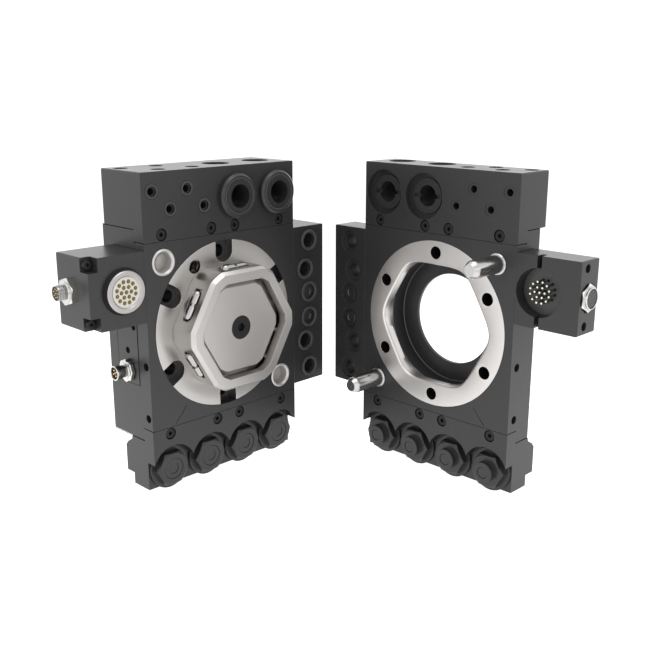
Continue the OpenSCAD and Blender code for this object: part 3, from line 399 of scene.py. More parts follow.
# %% Small metal parts
ROLLERS = tuple(f"lock_roller_{number}" for number in range(1, 7))
POLISHED = finish("polished_steel", (0.42, 0.41, 0.40), (0.62, 0.61, 0.6), metallic=1.0,
                  gloss=0.16, change=0.06, bump=0.000002, cloud_colour=0.04, edge=0.0003)
PIN_STEEL = finish("pin_steel", (0.5, 0.49, 0.485), (0.8, 0.8, 0.8), metallic=1.0,
                   gloss=0.24, change=0.06, bump=0.000003, cloud_colour=0.04, edge=0.0004)
HONED = finish("honed_bush", (0.50, 0.49, 0.48), (0.7, 0.69, 0.68), metallic=0.7,
               gloss=0.42, change=0.06, bump=0.000004, cloud_colour=0.05, edge=0.0004)
OXIDE = finish("black_oxide", (0.016, 0.016, 0.017), (0.06, 0.06, 0.06), metallic=0.3, gloss=0.5,
               change=0.12, bump=0.000006, edge=0.0003, specular=0.25)
GUNMETAL = finish("gunmetal", (0.16, 0.16, 0.16), (0.4, 0.4, 0.4), metallic=1.0, gloss=0.32,
                  change=0.12, bump=0.000004, edge=0.0003)
NICKEL = finish("nickel", (0.62, 0.61, 0.59), (0.85, 0.84, 0.82), metallic=1.0, gloss=0.2,
                change=0.08, bump=0.000003, edge=0.0003, cloud_colour=0.06)
# A darker copy of the nickel for the plug tubes: painted shade standing in for the dark that a
# round tube reflects.
SHADED_NICKEL = finish("shaded_nickel", (0.30, 0.295, 0.29), (0.6, 0.59, 0.58), metallic=1.0,
                     gloss=0.22, change=0.08, bump=0.000003, edge=0.0002, cloud_colour=0.1)
PAD_GOLD = finish("contact_gold", (0.17, 0.13, 0.05), (0.4, 0.33, 0.16), metallic=0.9, gloss=0.3,
                  change=0.08, bump=0.000002, edge=0.0002, cloud_colour=0.15)
PIN_GOLD = finish("pin_gold", (0.80, 0.62, 0.30), (0.95, 0.85, 0.6), metallic=0.9, gloss=0.25,
                  change=0.08, bump=0.000002, edge=0.0002, cloud_colour=0.08)
TIP_GOLD = finish("spring_tip_gold", (0.86, 0.84, 0.60), (0.95, 0.94, 0.8), metallic=0.25,
                  gloss=0.35, change=0.05, bump=0.000002, edge=0.0002, cloud_colour=0.05)
paint(POLISHED, *ROLLERS, "lock_piston")
paint(PIN_STEEL, "guide_pins")
paint(HONED, "guide_bushes")
paint(GUNMETAL, "master_air_poppets", "tool_air_poppets")
paint(OXIDE, "flange_screws", "rear_cover_screws", "cam_screw", "master_top_screws",
      "master_air_screws", "master_signal_screws", "master_bottom_screws", "lock_ring_screws",
      "tool_top_screws", "tool_air_screws", "tool_bottom_screws")
paint(ANODISED, "master_couplings", "tool_couplings", "port_collars", "tool_port_inserts",
      "coupling_shutters", "coupling_poppets")
paint(TIP_GOLD, "spring_pins")
print("painted the small metal parts")

# %% [markdown]
# ## Plastics and rubber
# The contact disc is a pale insulator in a clear anodised bezel; the spring pins sit in a black
# one. Seals are dull black rubber, which needs a high roughness so that they don't shine like the
# metal.

# %% Insulators and seals
DISC = finish("pale_insulator", (0.52, 0.50, 0.46), (0.62, 0.6, 0.57), metallic=0.0, gloss=0.5,
              edge=0.0003, cloud_colour=0.06)
BEZEL = finish("clear_anodised", (0.40, 0.385, 0.38), (0.7, 0.69, 0.68), metallic=1.0,
               gloss=0.38, edge=0.0003, cloud_colour=0.05)
INSULATOR = finish("black_insulator", (0.034, 0.034, 0.035), (0.06, 0.06, 0.06), metallic=0.0,
                   gloss=0.5, edge=0.0002)
# The same dull black floors the socket's pin holes, as painted shade.
RUBBER_AND_HOLE_SHADE = finish("seal_rubber_and_hole_shade", (0.028, 0.028, 0.028), (0.04, 0.04, 0.04), metallic=0.0,
                gloss=0.6, edge=0.0003)
paint(DISC, "contact_disc")
paint(BEZEL, "contact_bezel")
# This flat black is the sealant in the joints; as painted shade it also lines the holes and marks
# the screw wells.
SEALANT_AND_SHADE = finish("joint_sealant_and_shade", (0.008, 0.008, 0.008), (0.008, 0.008, 0.008), metallic=0.0,
                 gloss=0.85, edge=0.0002, specular=0.0)
# Lighter than the other black insulator: painted light that offsets the shade of the recess the
# carrier sits in.
LIGHTENED_BLACK = finish("pin_carrier_lightened_black", (0.05, 0.05, 0.051), (0.07, 0.07, 0.07), metallic=0.0,
                 gloss=0.45, edge=0.0002)
paint(LIGHTENED_BLACK, "pin_carrier")
LIP_SEAL = finish("lip_seal", (0.013, 0.013, 0.013), (0.02, 0.02, 0.02), metallic=0.0,
                  gloss=0.7, edge=0.0003, specular=0.15)
paint(RUBBER_AND_HOLE_SHADE, "piston_seal", "collar_seals", "master_port_seals", "master_air_seals")
paint(LIP_SEAL, "contact_seal")
print("painted the insulators and seals")

# %% [markdown]
# ## Tools for turned pieces
# Connectors, pads and rings are lathe work, so their meshes are made as a lathe would: a short
# profile of (radius, height) points, in millimetres, swept round an axis. The same loop of points
# can be drawn as a hexagon or a scallop if the radius depends on the angle, so one function that
# joins ring to ring builds them all.

# %% Modelling helpers
MM = 0.001
THREAD_FOOT = 0.1  # how far a thread's foot is sunk into its tube
THREAD_RISES = (0.0, 0.35, 0.5, 0.85)  # its four corners, as parts of the pitch


def outward_frame(origin, direction, up=(0.0, 0.0, 1.0)):
    """A frame in millimetres at origin: z runs along direction, and angle 0 points up."""
    z_axis = Vector(direction)
    x_axis = Vector(up)
    y_axis = z_axis.cross(x_axis)
    turn = Matrix((x_axis, y_axis, z_axis)).transposed().to_4x4()
    return Matrix.Translation(Vector(origin)) @ turn @ Matrix.Scale(MM, 4)


def round_radius(radius):
    return lambda angle: radius


def hexagon_radius(flat, turned=None):
    """Distance to a hexagon's side, its corners at angle 0 and turned down to a radius."""
    def radius(angle):
        side = flat / math.cos(angle % (math.pi / 3) - math.pi / 6)
        return min(side, turned) if turned else side
    return radius


def point_at(bm, place, angle, reach, height):
    """A vertex at an angle, a radius and a height in a frame."""
    return bm.verts.new(place @ Vector((reach * math.cos(angle), reach * math.sin(angle), height)))


def ring_of(bm, place, radius, height, count):
    """A loop of vertices at a height; radius is a function of the angle."""
    angles = (2 * math.pi * step / count for step in range(count))
    return [point_at(bm, place, angle, radius(angle), height) for angle in angles]


def join_rings(bm, lower, upper):
    """A band of quads between two loops of the same length."""
    count = len(lower)
    for step in range(count):
        after = (step + 1) % count
        bm.faces.new((lower[step], lower[after], upper[after], upper[step]))


def add_lathe(bm, place, profile, count=48, closed=False):
    """Sweeps (radius, height) points round the axis; a radius may be a function of the angle."""
    rings = []
    for reach, height in profile:
        shape = reach if callable(reach) else round_radius(reach)
        rings.append(ring_of(bm, place, shape, height, count))
    for lower, upper in zip(rings, rings[1:]):
        join_rings(bm, lower, upper)
    if closed:
        join_rings(bm, rings[-1], rings[0])
    else:
        bm.faces.new(list(reversed(rings[0])))
        bm.faces.new(rings[-1])


def to_object(name, bm):
    """Turns a bmesh into an object of the scene."""
    bmesh.ops.recalc_face_normals(bm, faces=bm.faces)
    mesh = bpy.data.meshes.new(name)
    bm.to_mesh(mesh)
    bm.free()
    thing = bpy.data.objects.new(name, mesh)
    bpy.context.scene.collection.objects.link(thing)
    return thing


def finish_piece(name, bm, material, body, stands_for=()):
    """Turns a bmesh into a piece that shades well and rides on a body."""
    piece = to_object(name, bm)
    piece.data.materials.append(material)
    smooth_by_angle(piece)
    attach(piece, body)
    if stands_for:
        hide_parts(*stands_for)
    print(name, len(piece.data.vertices), "vertices on", body)


def add_thread(bm, place, radius, start, end, pitch, depth, count=32):
    """A ridge wound round the axis, fading in and out over half a turn like a cut thread."""
    foot = radius - THREAD_FOOT
    steps = int((end - start) / pitch * count)
    previous = None
    for step in range(steps + 1):
        angle = 2 * math.pi * step / count
        height = start + pitch * step / count
        fade = min(1.0, 2 * step / count, 2 * (steps - step) / count)
        crest = radius + depth * fade
        section = zip((foot, crest, crest, foot), THREAD_RISES)
        loop = [point_at(bm, place, angle, reach, height + rise * pitch)
                for reach, rise in section]
        if previous:
            join_rings(bm, previous, loop)
        else:
            bm.faces.new(loop)
        previous = loop
    bm.faces.new(list(reversed(previous)))


print("modelling helpers ready")

# %% [markdown]
# ## The signal plug
# A circular connector of the kind that is used all over a factory: a hexagon nut clamps it to the
# housing, a round shoulder seats the cable's own nut, and a fine thread holds it. Inside, a black
# insert carries seven pins round an eighth. The thread is a real ridge wound round the tube, since
# at this size a bump would vanish at the outline.

# %% Signal plug
PLUG_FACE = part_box("master_signal_housing")[0][0]
PLUG_TIP = (PLUG_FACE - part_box("signal_plug_shell")[0][0]) / MM
PLUG_AXIS = box_centre("signal_plug_shell")
plug_frame = outward_frame((PLUG_FACE, PLUG_AXIS[1], PLUG_AXIS[2]), (-1.0, 0.0, 0.0))
NUT_FLAT, NUT_HEIGHT, NUT_CROWN = 10.0, 4.7, 10.1
TUBE_R, TUBE_BORE_R, THREAD_PITCH = 5.85, 5.4, 1.0
NUT_SUNK, CHAMFER_SLOPE = 0.5, 0.577


def add_nut(bm, place, flat, crown, height, turn=0.0, count=72):
    """A hexagon nut whose corners are turned to a cone, which draws an arc on each side."""
    def side(angle):
        return hexagon_radius(flat)(angle - turn)

    def shoulder(angle):
        return min(side(angle), crown)
    lower = ring_of(bm, place, side, -NUT_SUNK, count)
    edge = []
    for step in range(count):
        angle = 2 * math.pi * step / count
        reach = side(angle)
        level = height - CHAMFER_SLOPE * max(0.0, reach - crown)
        edge.append(point_at(bm, place, angle, reach, level))
    upper = ring_of(bm, place, shoulder, height, count)
    join_rings(bm, lower, edge)
    join_rings(bm, edge, upper)
    bm.faces.new(list(reversed(lower)))
    bm.faces.new(upper)


def make_signal_plug():
    bm = bmesh.new()
    add_nut(bm, plug_frame, NUT_FLAT, NUT_CROWN, NUT_HEIGHT, turn=math.radians(48))
    add_lathe(bm, plug_frame, ((8.0, 4.0), (8.0, 5.6), (7.6, 6.0), (TUBE_R, 6.0)))
    finish_piece("signal_plug_nut", bm, NICKEL, "master_side")
    bm = bmesh.new()
    tip = PLUG_TIP
    add_lathe(bm, plug_frame, (
        (TUBE_R, 5.0), (TUBE_R, tip - 0.3), (TUBE_R - 0.1, tip), (TUBE_BORE_R + 0.1, tip),
        (TUBE_BORE_R, tip - 0.2), (TUBE_BORE_R, 5.0)), closed=True)
    add_thread(bm, plug_frame, TUBE_R, 6.6, tip - 1.2, THREAD_PITCH, 0.3)
    finish_piece("signal_plug_body", bm, SHADED_NICKEL, "master_side",
                 stands_for=("signal_plug_shell",))


def add_pins(bm, place, places, radius, start, tip):
    """Round-ended contact pins along the frame's axis."""
    for x, y in places:
        spot = place @ Matrix.Translation((x, y, 0.0))
        add_lathe(bm, spot, ((radius, start), (radius, tip - radius * 0.7),
                             (radius * 0.75, tip - radius * 0.25), (radius * 0.3, tip)), count=12)


def circle_places(count, radius, turn=0.0, centre=False):
    """Places round a circle, with one more in its centre if asked."""
    spots = [(radius * math.cos(turn + 2 * math.pi * step / count),
              radius * math.sin(turn + 2 * math.pi * step / count)) for step in range(count)]
    return spots + [(0.0, 0.0)] if centre else spots


def make_signal_pins():
    bm = bmesh.new()
    add_lathe(bm, plug_frame, ((TUBE_BORE_R - 0.02, PLUG_TIP - 7.0),
                               (TUBE_BORE_R - 0.02, PLUG_TIP - 1.1),
                               (TUBE_BORE_R - 0.2, PLUG_TIP - 0.9)))
    finish_piece("signal_plug_insert", bm, INSULATOR, "master_side")
    bm = bmesh.new()
    add_pins(bm, plug_frame, circle_places(7, 3.4, 0.3, centre=True), 0.5,
             PLUG_TIP - 3.0, PLUG_TIP - 0.1)
    finish_piece("signal_plug_contacts", bm, PIN_GOLD, "master_side",
                 stands_for=("signal_plug_pins",))


make_signal_plug()
make_signal_pins()

# %% [markdown]
# ## The sensor plug
# The smaller plug on the body's side brings the piston sensors out. Its nut is scalloped for the
# fingers, so its outline is a circle whose radius swings with the angle. A bare neck leads to a
# bright end ring, and five long gold pins stand inside it.

# %% Sensor plug
SENSOR_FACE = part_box("master_body")[0][0]
SENSOR_TIP = (SENSOR_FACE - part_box("sensor_plug_shell")[0][0]) / MM
SENSOR_AXIS = box_centre("sensor_plug_shell")
sensor_frame = outward_frame((SENSOR_FACE, SENSOR_AXIS[1], SENSOR_AXIS[2]), (-1.0, 0.0, 0.0))


def scalloped(mean, swing, lobes):
    return lambda angle: mean + swing * math.cos(lobes * angle)


def make_sensor_plug():
    bm = bmesh.new()
    add_lathe(bm, sensor_frame, (
        (scalloped(8.9, 0.45, 8), 0.6), (scalloped(9.4, 0.45, 8), 1.0),
        (scalloped(9.4, 0.45, 8), 3.8), (scalloped(8.8, 0.4, 8), 4.4), (7.0, 4.6),
        (6.8, 5.4), (5.3, 5.6)), count=96)
    tip = SENSOR_TIP
    add_lathe(bm, sensor_frame, (
        (5.0, tip - 1.6), (6.1, tip - 1.6), (6.25, tip - 1.4), (6.25, tip - 0.3),
        (6.0, tip), (5.3, tip), (5.1, tip - 0.3), (5.0, tip - 1.0)), closed=True)
    finish_piece("sensor_plug_nut", bm, NICKEL, "master_side")
    bm = bmesh.new()
    add_lathe(bm, sensor_frame, (
        (5.3, 4.0), (5.3, tip - 6.0), (TUBE_R, tip - 5.6), (TUBE_R, tip - 1.4), (5.0, tip - 1.4),
        (5.0, 4.0)), closed=True)
    finish_piece("sensor_plug_body", bm, SHADED_NICKEL, "master_side",
                 stands_for=("sensor_plug_shell",))
    bm = bmesh.new()
    add_lathe(bm, sensor_frame, ((4.98, 5.0), (4.98, tip - 3.2), (4.8, tip - 3.0)))
    finish_piece("sensor_plug_insert", bm, INSULATOR, "master_side")
    bm = bmesh.new()
    add_pins(bm, sensor_frame, circle_places(4, 2.6, 0.5, centre=True), 0.75, 9.0, tip - 0.5)
    finish_piece("sensor_plug_contacts", bm, PIN_GOLD, "master_side",
                 stands_for=("sensor_plug_pins",))


make_sensor_plug()

# %% [markdown]
# ## The tool's signal socket
# The partner on the tool half is a flush socket: a hexagon nut, a rolled lip and a wide black
# insert with a hole for every pin. Each hole is a little metal cup, real geometry, so that it
# catches light on one side; its floor is a shallow black disc, painted shade for the depth of the
# hole.

# %% Signal socket
SOCKET_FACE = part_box("tool_signal_housing")[0][1]
SOCKET_AXIS = box_centre("signal_socket_shell")
socket_frame = outward_frame((SOCKET_AXIS[0], SOCKET_FACE, SOCKET_AXIS[2]), (0.0, -1.0, 0.0))
SOCKET_LIP_R, SOCKET_BORE_R, SOCKET_FLOOR = 8.6, 7.7, 3.0


def make_signal_socket():
    bm = bmesh.new()
    add_nut(bm, socket_frame, 10.0, 9.9, 1.5)
    add_lathe(bm, socket_frame, (
        (SOCKET_LIP_R, 0.5), (SOCKET_LIP_R, 3.2), (SOCKET_LIP_R - 0.3, 3.65),
        (SOCKET_BORE_R + 0.15, 3.65), (SOCKET_BORE_R, 3.5), (SOCKET_BORE_R, 0.5)),
        count=64, closed=True)
    finish_piece("signal_socket_body", bm, NICKEL, "tool_side",
                 stands_for=("signal_socket_shell",))
    bm = bmesh.new()
    add_lathe(bm, socket_frame, ((SOCKET_BORE_R - 0.05, 0.6), (SOCKET_BORE_R - 0.05, 2.7),
                                 (SOCKET_BORE_R - 0.35, SOCKET_FLOOR)), count=64)
    finish_piece("signal_socket_face", bm, INSULATOR, "tool_side",
                 stands_for=("signal_socket_insert",))
    cups, hole_shade_discs = bmesh.new(), bmesh.new()
    spots = circle_places(6, 2.6, 0.2, centre=True) + circle_places(12, 5.2, 0.1)
    for x, y in spots:
        spot = socket_frame @ Matrix.Translation((x, y, SOCKET_FLOOR))
        add_lathe(cups, spot, ((0.78, -0.1), (0.74, 0.12), (0.56, 0.12), (0.52, -0.1)),
                  count=16, closed=True)
        # black discs: painted shade for the depth of the pin holes
        add_lathe(hole_shade_discs, spot, ((0.53, -0.05), (0.53, 0.03)), count=16)
    finish_piece("signal_socket_cups", cups, GUNMETAL, "tool_side")
    finish_piece("signal_socket_hole_shade", hole_shade_discs, RUBBER_AND_HOLE_SHADE, "tool_side")


make_signal_socket()

# %% [markdown]
# ## Contact pads
# Each of the nineteen pads on the master is a turned gold cup that a spring pin presses into, so it
# has a flat rim and a dished middle. The places come from the frame: the pads' mesh is split into
# its separate cylinders, and the middle of each one is where the new pad goes.

# %% Contact pads
PAD_R = 1.65


def separate_boxes(name):
    """The lowest and highest corner of every separate solid in a frame node, in mesh order."""
    bm = bmesh.new()
    bm.from_mesh(nodes[name].data)
    bmesh.ops.remove_doubles(bm, verts=bm.verts, dist=SAME_POINT)
    bm.verts.index_update()
    seen = set()
    boxes = []
    for seed in bm.verts:
        if seed.index in seen:
            continue
        seen.add(seed.index)
        group, edge = [seed], [seed]
        while edge:
            vertex = edge.pop()
            for link in vertex.link_edges:
                other = link.other_vert(vertex)
                if other.index not in seen:
                    seen.add(other.index)
                    group.append(other)
                    edge.append(other)
        low = Vector(min(v.co[i] for v in group) for i in range(3))
        high = Vector(max(v.co[i] for v in group) for i in range(3))
        boxes.append((low, high))
    bm.free()
    return boxes


def front_of(low, high, axis):
    """The modelling frame in the middle of a box's low side along X (0) or Y (1), looking out."""
    place, direction = (low + high) / 2, Vector((0.0, 0.0, 0.0))
    place[axis], direction[axis] = low[axis], -1.0
    return outward_frame(place, direction)


def make_contact_pads():
    bm = bmesh.new()
    for low, high in separate_boxes("contact_pads"):
        add_lathe(bm, front_of(low, high, 1), (
            (1.4, -1.0), (1.4, -0.1), (PAD_R, -0.1), (PAD_R - 0.1, 0.05),
            (1.1, 0.05), (0.8, -0.3), (0.25, -0.4)), count=24)
    finish_piece("contact_cups", bm, PAD_GOLD, "master_side",
                 stands_for=("contact_pads",))


make_contact_pads()

# %% [markdown]
# ## Spring pins
# A spring pin is two pieces: a barrel pressed into the carrier and a thin plunger with a bright,
# rounded tip that moves in it. The barrel takes the carrier's black, a painted dark reflection, so
# only the tip shines. Both are turned here on the places of the frame's pins, and they ride with
# the moving body, so the whole pin follows the pose.

# %% Spring pins
TIP_R, TIP_LENGTH = 0.85, 0.9


def make_spring_pins():
    barrels, tips = bmesh.new(), bmesh.new()
    for low, high in separate_boxes("spring_pins"):
        spot = front_of(low, high, 0)
        length = (high.x - low.x) / MM
        add_lathe(barrels, spot, ((0.8, -length), (0.8, -TIP_LENGTH - 0.6),
                                  (0.6, -TIP_LENGTH), (0.6, -TIP_LENGTH + 0.3)), count=16)
        add_lathe(tips, spot, ((0.7, -TIP_LENGTH), (TIP_R, -TIP_LENGTH + 0.2), (TIP_R, -0.5),
                               (0.6, -0.13), (0.25, 0.0)), count=16)
    # the barrels' black is a painted dark reflection; only the tips are bright
    finish_piece("spring_barrels", barrels, LIGHTENED_BLACK, "pins",
                 stands_for=("spring_pins",))
    finish_piece("spring_tips", tips, TIP_GOLD, "pins")


make_spring_pins()

# %% [markdown]
# ## Bush liners
# The guide bushes are lined with a pale bearing sleeve that the pins slide in. It scatters light,
# so the bore looks light grey although it is deep. Each liner is a thin tube just inside the bore,
# with a floor where the sleeve ends.

# %% Bush liners
LINER = finish("bearing_liner", (0.40, 0.385, 0.37), (0.6, 0.59, 0.57), metallic=0.3, gloss=0.4,
               change=0.06, edge=0.0002, cloud_colour=0.08)
LINER_R, LINER_WALL, LINER_LENGTH = 7.62, 0.1, 9.0


def make_bush_liners():
    bm = bmesh.new()
    for low, high in separate_boxes("guide_bushes"):
        spot = front_of(low, high, 1)
        inner = LINER_R - LINER_WALL
        add_lathe(bm, spot, ((LINER_R, -LINER_LENGTH), (LINER_R, -1.2), (inner, -1.2),
                             (inner, -LINER_LENGTH)), count=64, closed=True)
        add_lathe(bm, spot, ((inner, -LINER_LENGTH), (inner, -LINER_LENGTH + 0.3)), count=64)
    finish_piece("bush_liners", bm, LINER, "master_side")


make_bush_liners()

# %% [markdown]
# ## Carving
# Some openings are easier to cut than to draw. A Boolean modifier takes the cutter's volume out of
# the blank; the result is read back as plain mesh, and both helpers are thrown away, so the scene
# keeps one finished solid, the way a milled part keeps no trace of the cutter.

# %% Boolean helper


def carved(solid, tools):
    """The solid minus the tools, all of them bmeshes; returns a new bmesh."""
    blank, cutter = to_object("carving_blank", solid), to_object("carving_tool", tools)
    cut = blank.modifiers.new("cut", "BOOLEAN")
    cut.operation, cut.solver, cut.object = "DIFFERENCE", "EXACT", cutter
    cut.use_self = True
    bpy.context.view_layer.update()
    seen = blank.evaluated_get(bpy.context.evaluated_depsgraph_get())
    bm = bmesh.new()
    bm.from_mesh(seen.to_mesh())
    seen.to_mesh_clear()
    for thing in (cutter, blank):
        mesh = thing.data
        bpy.data.objects.remove(thing)
        bpy.data.meshes.remove(mesh)
    for face in bm.faces:
        face.material_index = 0
    print("carved", len(bm.verts), "vertices")
    return bm


def polar(place, angle, radius):
    """The frame moved out by a radius in the direction of an angle, in degrees from the top."""
    return place @ Matrix.Rotation(math.radians(angle), 4, "Z") @ Matrix.Translation((radius, 0, 0))


print("carving helper ready")

# %% [markdown]
# ## The nose and its roller pockets
# The hexagonal nose carries a pocket for every roller: a spindle-shaped opening a little longer and
# wider than the roller, so that grease and dirt fall out. The pockets are carved from a copy of the
# flange's mesh by six turned spindles round the rollers' own axes.

# %% The nose
POCKET = ((3.4, -14.4), (4.6, -13.6), (5.9, -8.0), (6.3, 0.0), (5.9, 8.0), (4.6, 13.6), (3.4, 14.4))


def make_nose():
    blank, spindles = bmesh.new(), bmesh.new()
    blank.from_mesh(nodes["master_flange"].data)
    bmesh.ops.remove_doubles(blank, verts=blank.verts, dist=SAME_POINT)
    for name in ROLLERS:
        middle = Vector(box_centre(name))
        outward = Vector((middle.x, 0.0, middle.z)).normalized()
        along = Vector((-outward.z, 0.0, outward.x))
        add_lathe(spindles, outward_frame(middle, along, outward), POCKET, count=40)
    finish_piece("nose_flange", carved(blank, spindles), MASTER_STEEL, "master_side",
                 stands_for=("master_flange",))


make_nose()

# %% [markdown]
# ## The dished face
# Round the nose the flange is dished only slightly, a soft S from its level rim down to the neck,
# so that it wipes clean and its edge meets the lock ring first. The skin is turned with a fine
# profile, so that the polish runs smoothly over it, and then slotted for the six robot bolts, which
# open to the outside, and drilled for the dowel. The wall of the dowel's hole is lined with a thin
# black sleeve, painted shade for the depth of the hole.

# %% The dished face
FLANGE_R, RIM_R, NECK_R, SKIN_BORE_R = 72.45, 69.0, 51.0, 49.0
DISH, SKIN_LIFT, SKIN_BACK = 1.0, 0.02, -6.0
BOLT_ANGLES = range(0, 360, 60)
BOLT_R, SLOT_R, SLOT_LENGTH, DOWEL_R, DOWEL_SIZE = 62.5, 8.97, 14.0, 6.1, 4.98
CUT_FROM, CUT_TO = -8.0, 3.0
DOWEL_ANGLE = 30


def dish_profile(steps=24):
    """(radius, height) from the neck to the rim, level at both ends."""
    points = []
    for step in range(steps + 1):
        radius = NECK_R + (RIM_R - NECK_R) * step / steps
        points.append((radius, SKIN_LIFT - DISH * (1 + math.cos(math.pi * step / steps)) / 2))
    return points


def add_slot_cutter(bm, place, half, length, low, high, steps=24):
    """A rounded slot that runs outward from the frame, from low to high."""
    outline = [(length, -half), (length, half)]
    outline += [(half * math.cos(angle), half * math.sin(angle))
                for angle in (math.pi / 2 + math.pi * step / steps for step in range(steps + 1))]
    lower = [bm.verts.new(place @ Vector((x, y, low))) for x, y in outline]
    upper = [bm.verts.new(place @ Vector((x, y, high))) for x, y in outline]
    join_rings(bm, lower, upper)
    bm.faces.new(list(reversed(lower)))
    bm.faces.new(upper)


def make_dish():
    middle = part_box("master_flange")
    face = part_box("master_body")[0][1]
    centre = outward_frame(((middle[0][0] + middle[1][0]) / 2, face,
                            (middle[0][2] + middle[1][2]) / 2), (0.0, -1.0, 0.0))
    skin, tools = bmesh.new(), bmesh.new()
    add_lathe(skin, centre, [
        (SKIN_BORE_R, SKIN_BACK), (SKIN_BORE_R, SKIN_LIFT - DISH), *dish_profile(),
        (FLANGE_R - 0.15, SKIN_LIFT), (FLANGE_R, -0.1), (FLANGE_R, SKIN_BACK)],
        count=192, closed=True)
    for angle in BOLT_ANGLES:
        add_slot_cutter(tools, polar(centre, angle, BOLT_R), SLOT_R, SLOT_LENGTH, CUT_FROM, CUT_TO)
    add_lathe(tools, polar(centre, DOWEL_ANGLE, BOLT_R),
              ((DOWEL_R, CUT_FROM), (DOWEL_R, CUT_TO)), count=48)
    finish_piece("flange_dish", carved(skin, tools), MASTER_STEEL, "master_side")
    # A black sleeve in the dowel's hole: painted shade for its depth.
    scale = bmesh.new()
    add_lathe(scale, polar(centre, DOWEL_ANGLE, BOLT_R), (
        (DOWEL_R - 0.02, -1.0), (DOWEL_R - 0.02, -0.4), (DOWEL_R - 0.1, -0.4),
        (DOWEL_R - 0.15, -0.75), (DOWEL_SIZE, -0.85), (DOWEL_SIZE, -1.0)), count=48, closed=True)
    finish_piece("dowel_hole_shade", scale, SEALANT_AND_SHADE, "master_side")


make_dish()

# %% [markdown]
# ## The lock ring
# The rollers press behind a ledge inside this ring. Its mouth is a hexagon whose corners and front
# edge are rounded, which guides the nose in. The radius of every ring of the profile is a soft
# minimum of the hexagon's side and the corner circle: both raised to a high power and added, so the
# smaller one wins except near the corner, where they blend. The walls of its bolt holes are lined
# with thin black sleeves, painted shade for the depth of the holes. A narrow dark step closes the
# gap between the bore of the body and the ring's back.

# %% The lock ring
RING_R, MOUTH_FLAT, MOUTH_CORNER, RING_BACK, LEDGE = 72.5, 52.1, 56.4, -13.0, -8.2
RING_HOLE_R, SHADE_SLEEVE_INSET, BLEND = 5.5, 0.02, 34


def mouth(grow=0.0):
    """The mouth's outline, widened by grow, with blended corners."""
    def radius(angle):
        side = hexagon_radius(MOUTH_FLAT + grow)(angle + math.pi / 6)
        return (side ** -BLEND + (MOUTH_CORNER + grow) ** -BLEND) ** (-1 / BLEND)
    return radius


def make_lock_ring():
    centre = outward_frame((TOOL_BOX[0][0], TOOL_CENTRE[1], TOOL_CENTRE[2]), (-1.0, 0.0, 0.0))
    ring, tools = bmesh.new(), bmesh.new()
    add_lathe(ring, centre, (
        (RING_R, RING_BACK), (RING_R, -0.25), (RING_R - 0.25, 0.0), (mouth(1.9), 0.0),
        (mouth(1.35), -0.1), (mouth(0.85), -0.35), (mouth(0.4), -0.85), (mouth(0.1), -1.5),
        (mouth(), -2.3), (mouth(), LEDGE), (MOUTH_CORNER, RING_BACK + 0.6),
        (MOUTH_CORNER, RING_BACK)), count=288, closed=True)
    for angle in BOLT_ANGLES:
        add_lathe(tools, polar(centre, angle, BOLT_R),
                  ((RING_HOLE_R, RING_BACK - 2.0), (RING_HOLE_R, 2.0)), count=48)
    finish_piece("lock_ring", carved(ring, tools), TOOL_STEEL, "tool_side",
                 stands_for=("tool_lock_ring",))
    # Black sleeves in the bolt holes: painted shade for their depth.
    scale = bmesh.new()
    outer, inner = RING_HOLE_R + SHADE_SLEEVE_INSET, RING_HOLE_R - 0.1
    for angle in BOLT_ANGLES:
        add_lathe(scale, polar(centre, angle, BOLT_R), (
            (outer, RING_BACK), (outer, -0.5), (inner, -0.5), (inner, RING_BACK)),
            count=48, closed=True)
    finish_piece("ring_hole_shade", scale, SEALANT_AND_SHADE, "tool_side")
    bm = bmesh.new()
    add_lathe(bm, centre, (
        (MOUTH_CORNER, -27.2), (MOUTH_CORNER, -28.0), (MOUTH_CORNER - 0.7, -28.0),
        (MOUTH_CORNER - 0.7, -27.8)), count=192, closed=True)
    finish_piece("bore_step", bm, LIGHTENED_BLACK, "tool_side")


make_lock_ring()

# %% [markdown]
# ## The sensor cover
# A thin cover plate closes the sensor pocket in the master's side. It lies almost flush, so what
# the eye sees is its outline. The plate stands a quarter of a millimetre proud with a broken edge,
# and its two screws are drawn as flat black discs at the plate's face, painted shade for screws
# sunk in wells.

# %% Sensor cover
COVER_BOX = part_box("sensor_cover")
COVER_PROUD, COVER_SUNK, COVER_BREAK, COVER_BEAD_SUNK = 0.00025, 0.0005, 0.0001, 0.0002


def add_box(bm, low, high, break_edge=0.0):
    """A box between two corners, its edges broken by a real bevel if asked."""
    made = bmesh.ops.create_cube(bm, size=1.0)
    size = [b - a for a, b in zip(low, high)]
    middle = [(a + b) / 2 for a, b in zip(low, high)]
    bmesh.ops.transform(bm, verts=made["verts"],
                        matrix=Matrix.Translation(middle) @ Matrix.Diagonal((*size, 1.0)))
    if break_edge:
        edges = {edge for vertex in made["verts"] for edge in vertex.link_edges}
        bmesh.ops.bevel(bm, geom=list(edges), offset=break_edge, segments=1, affect="EDGES")


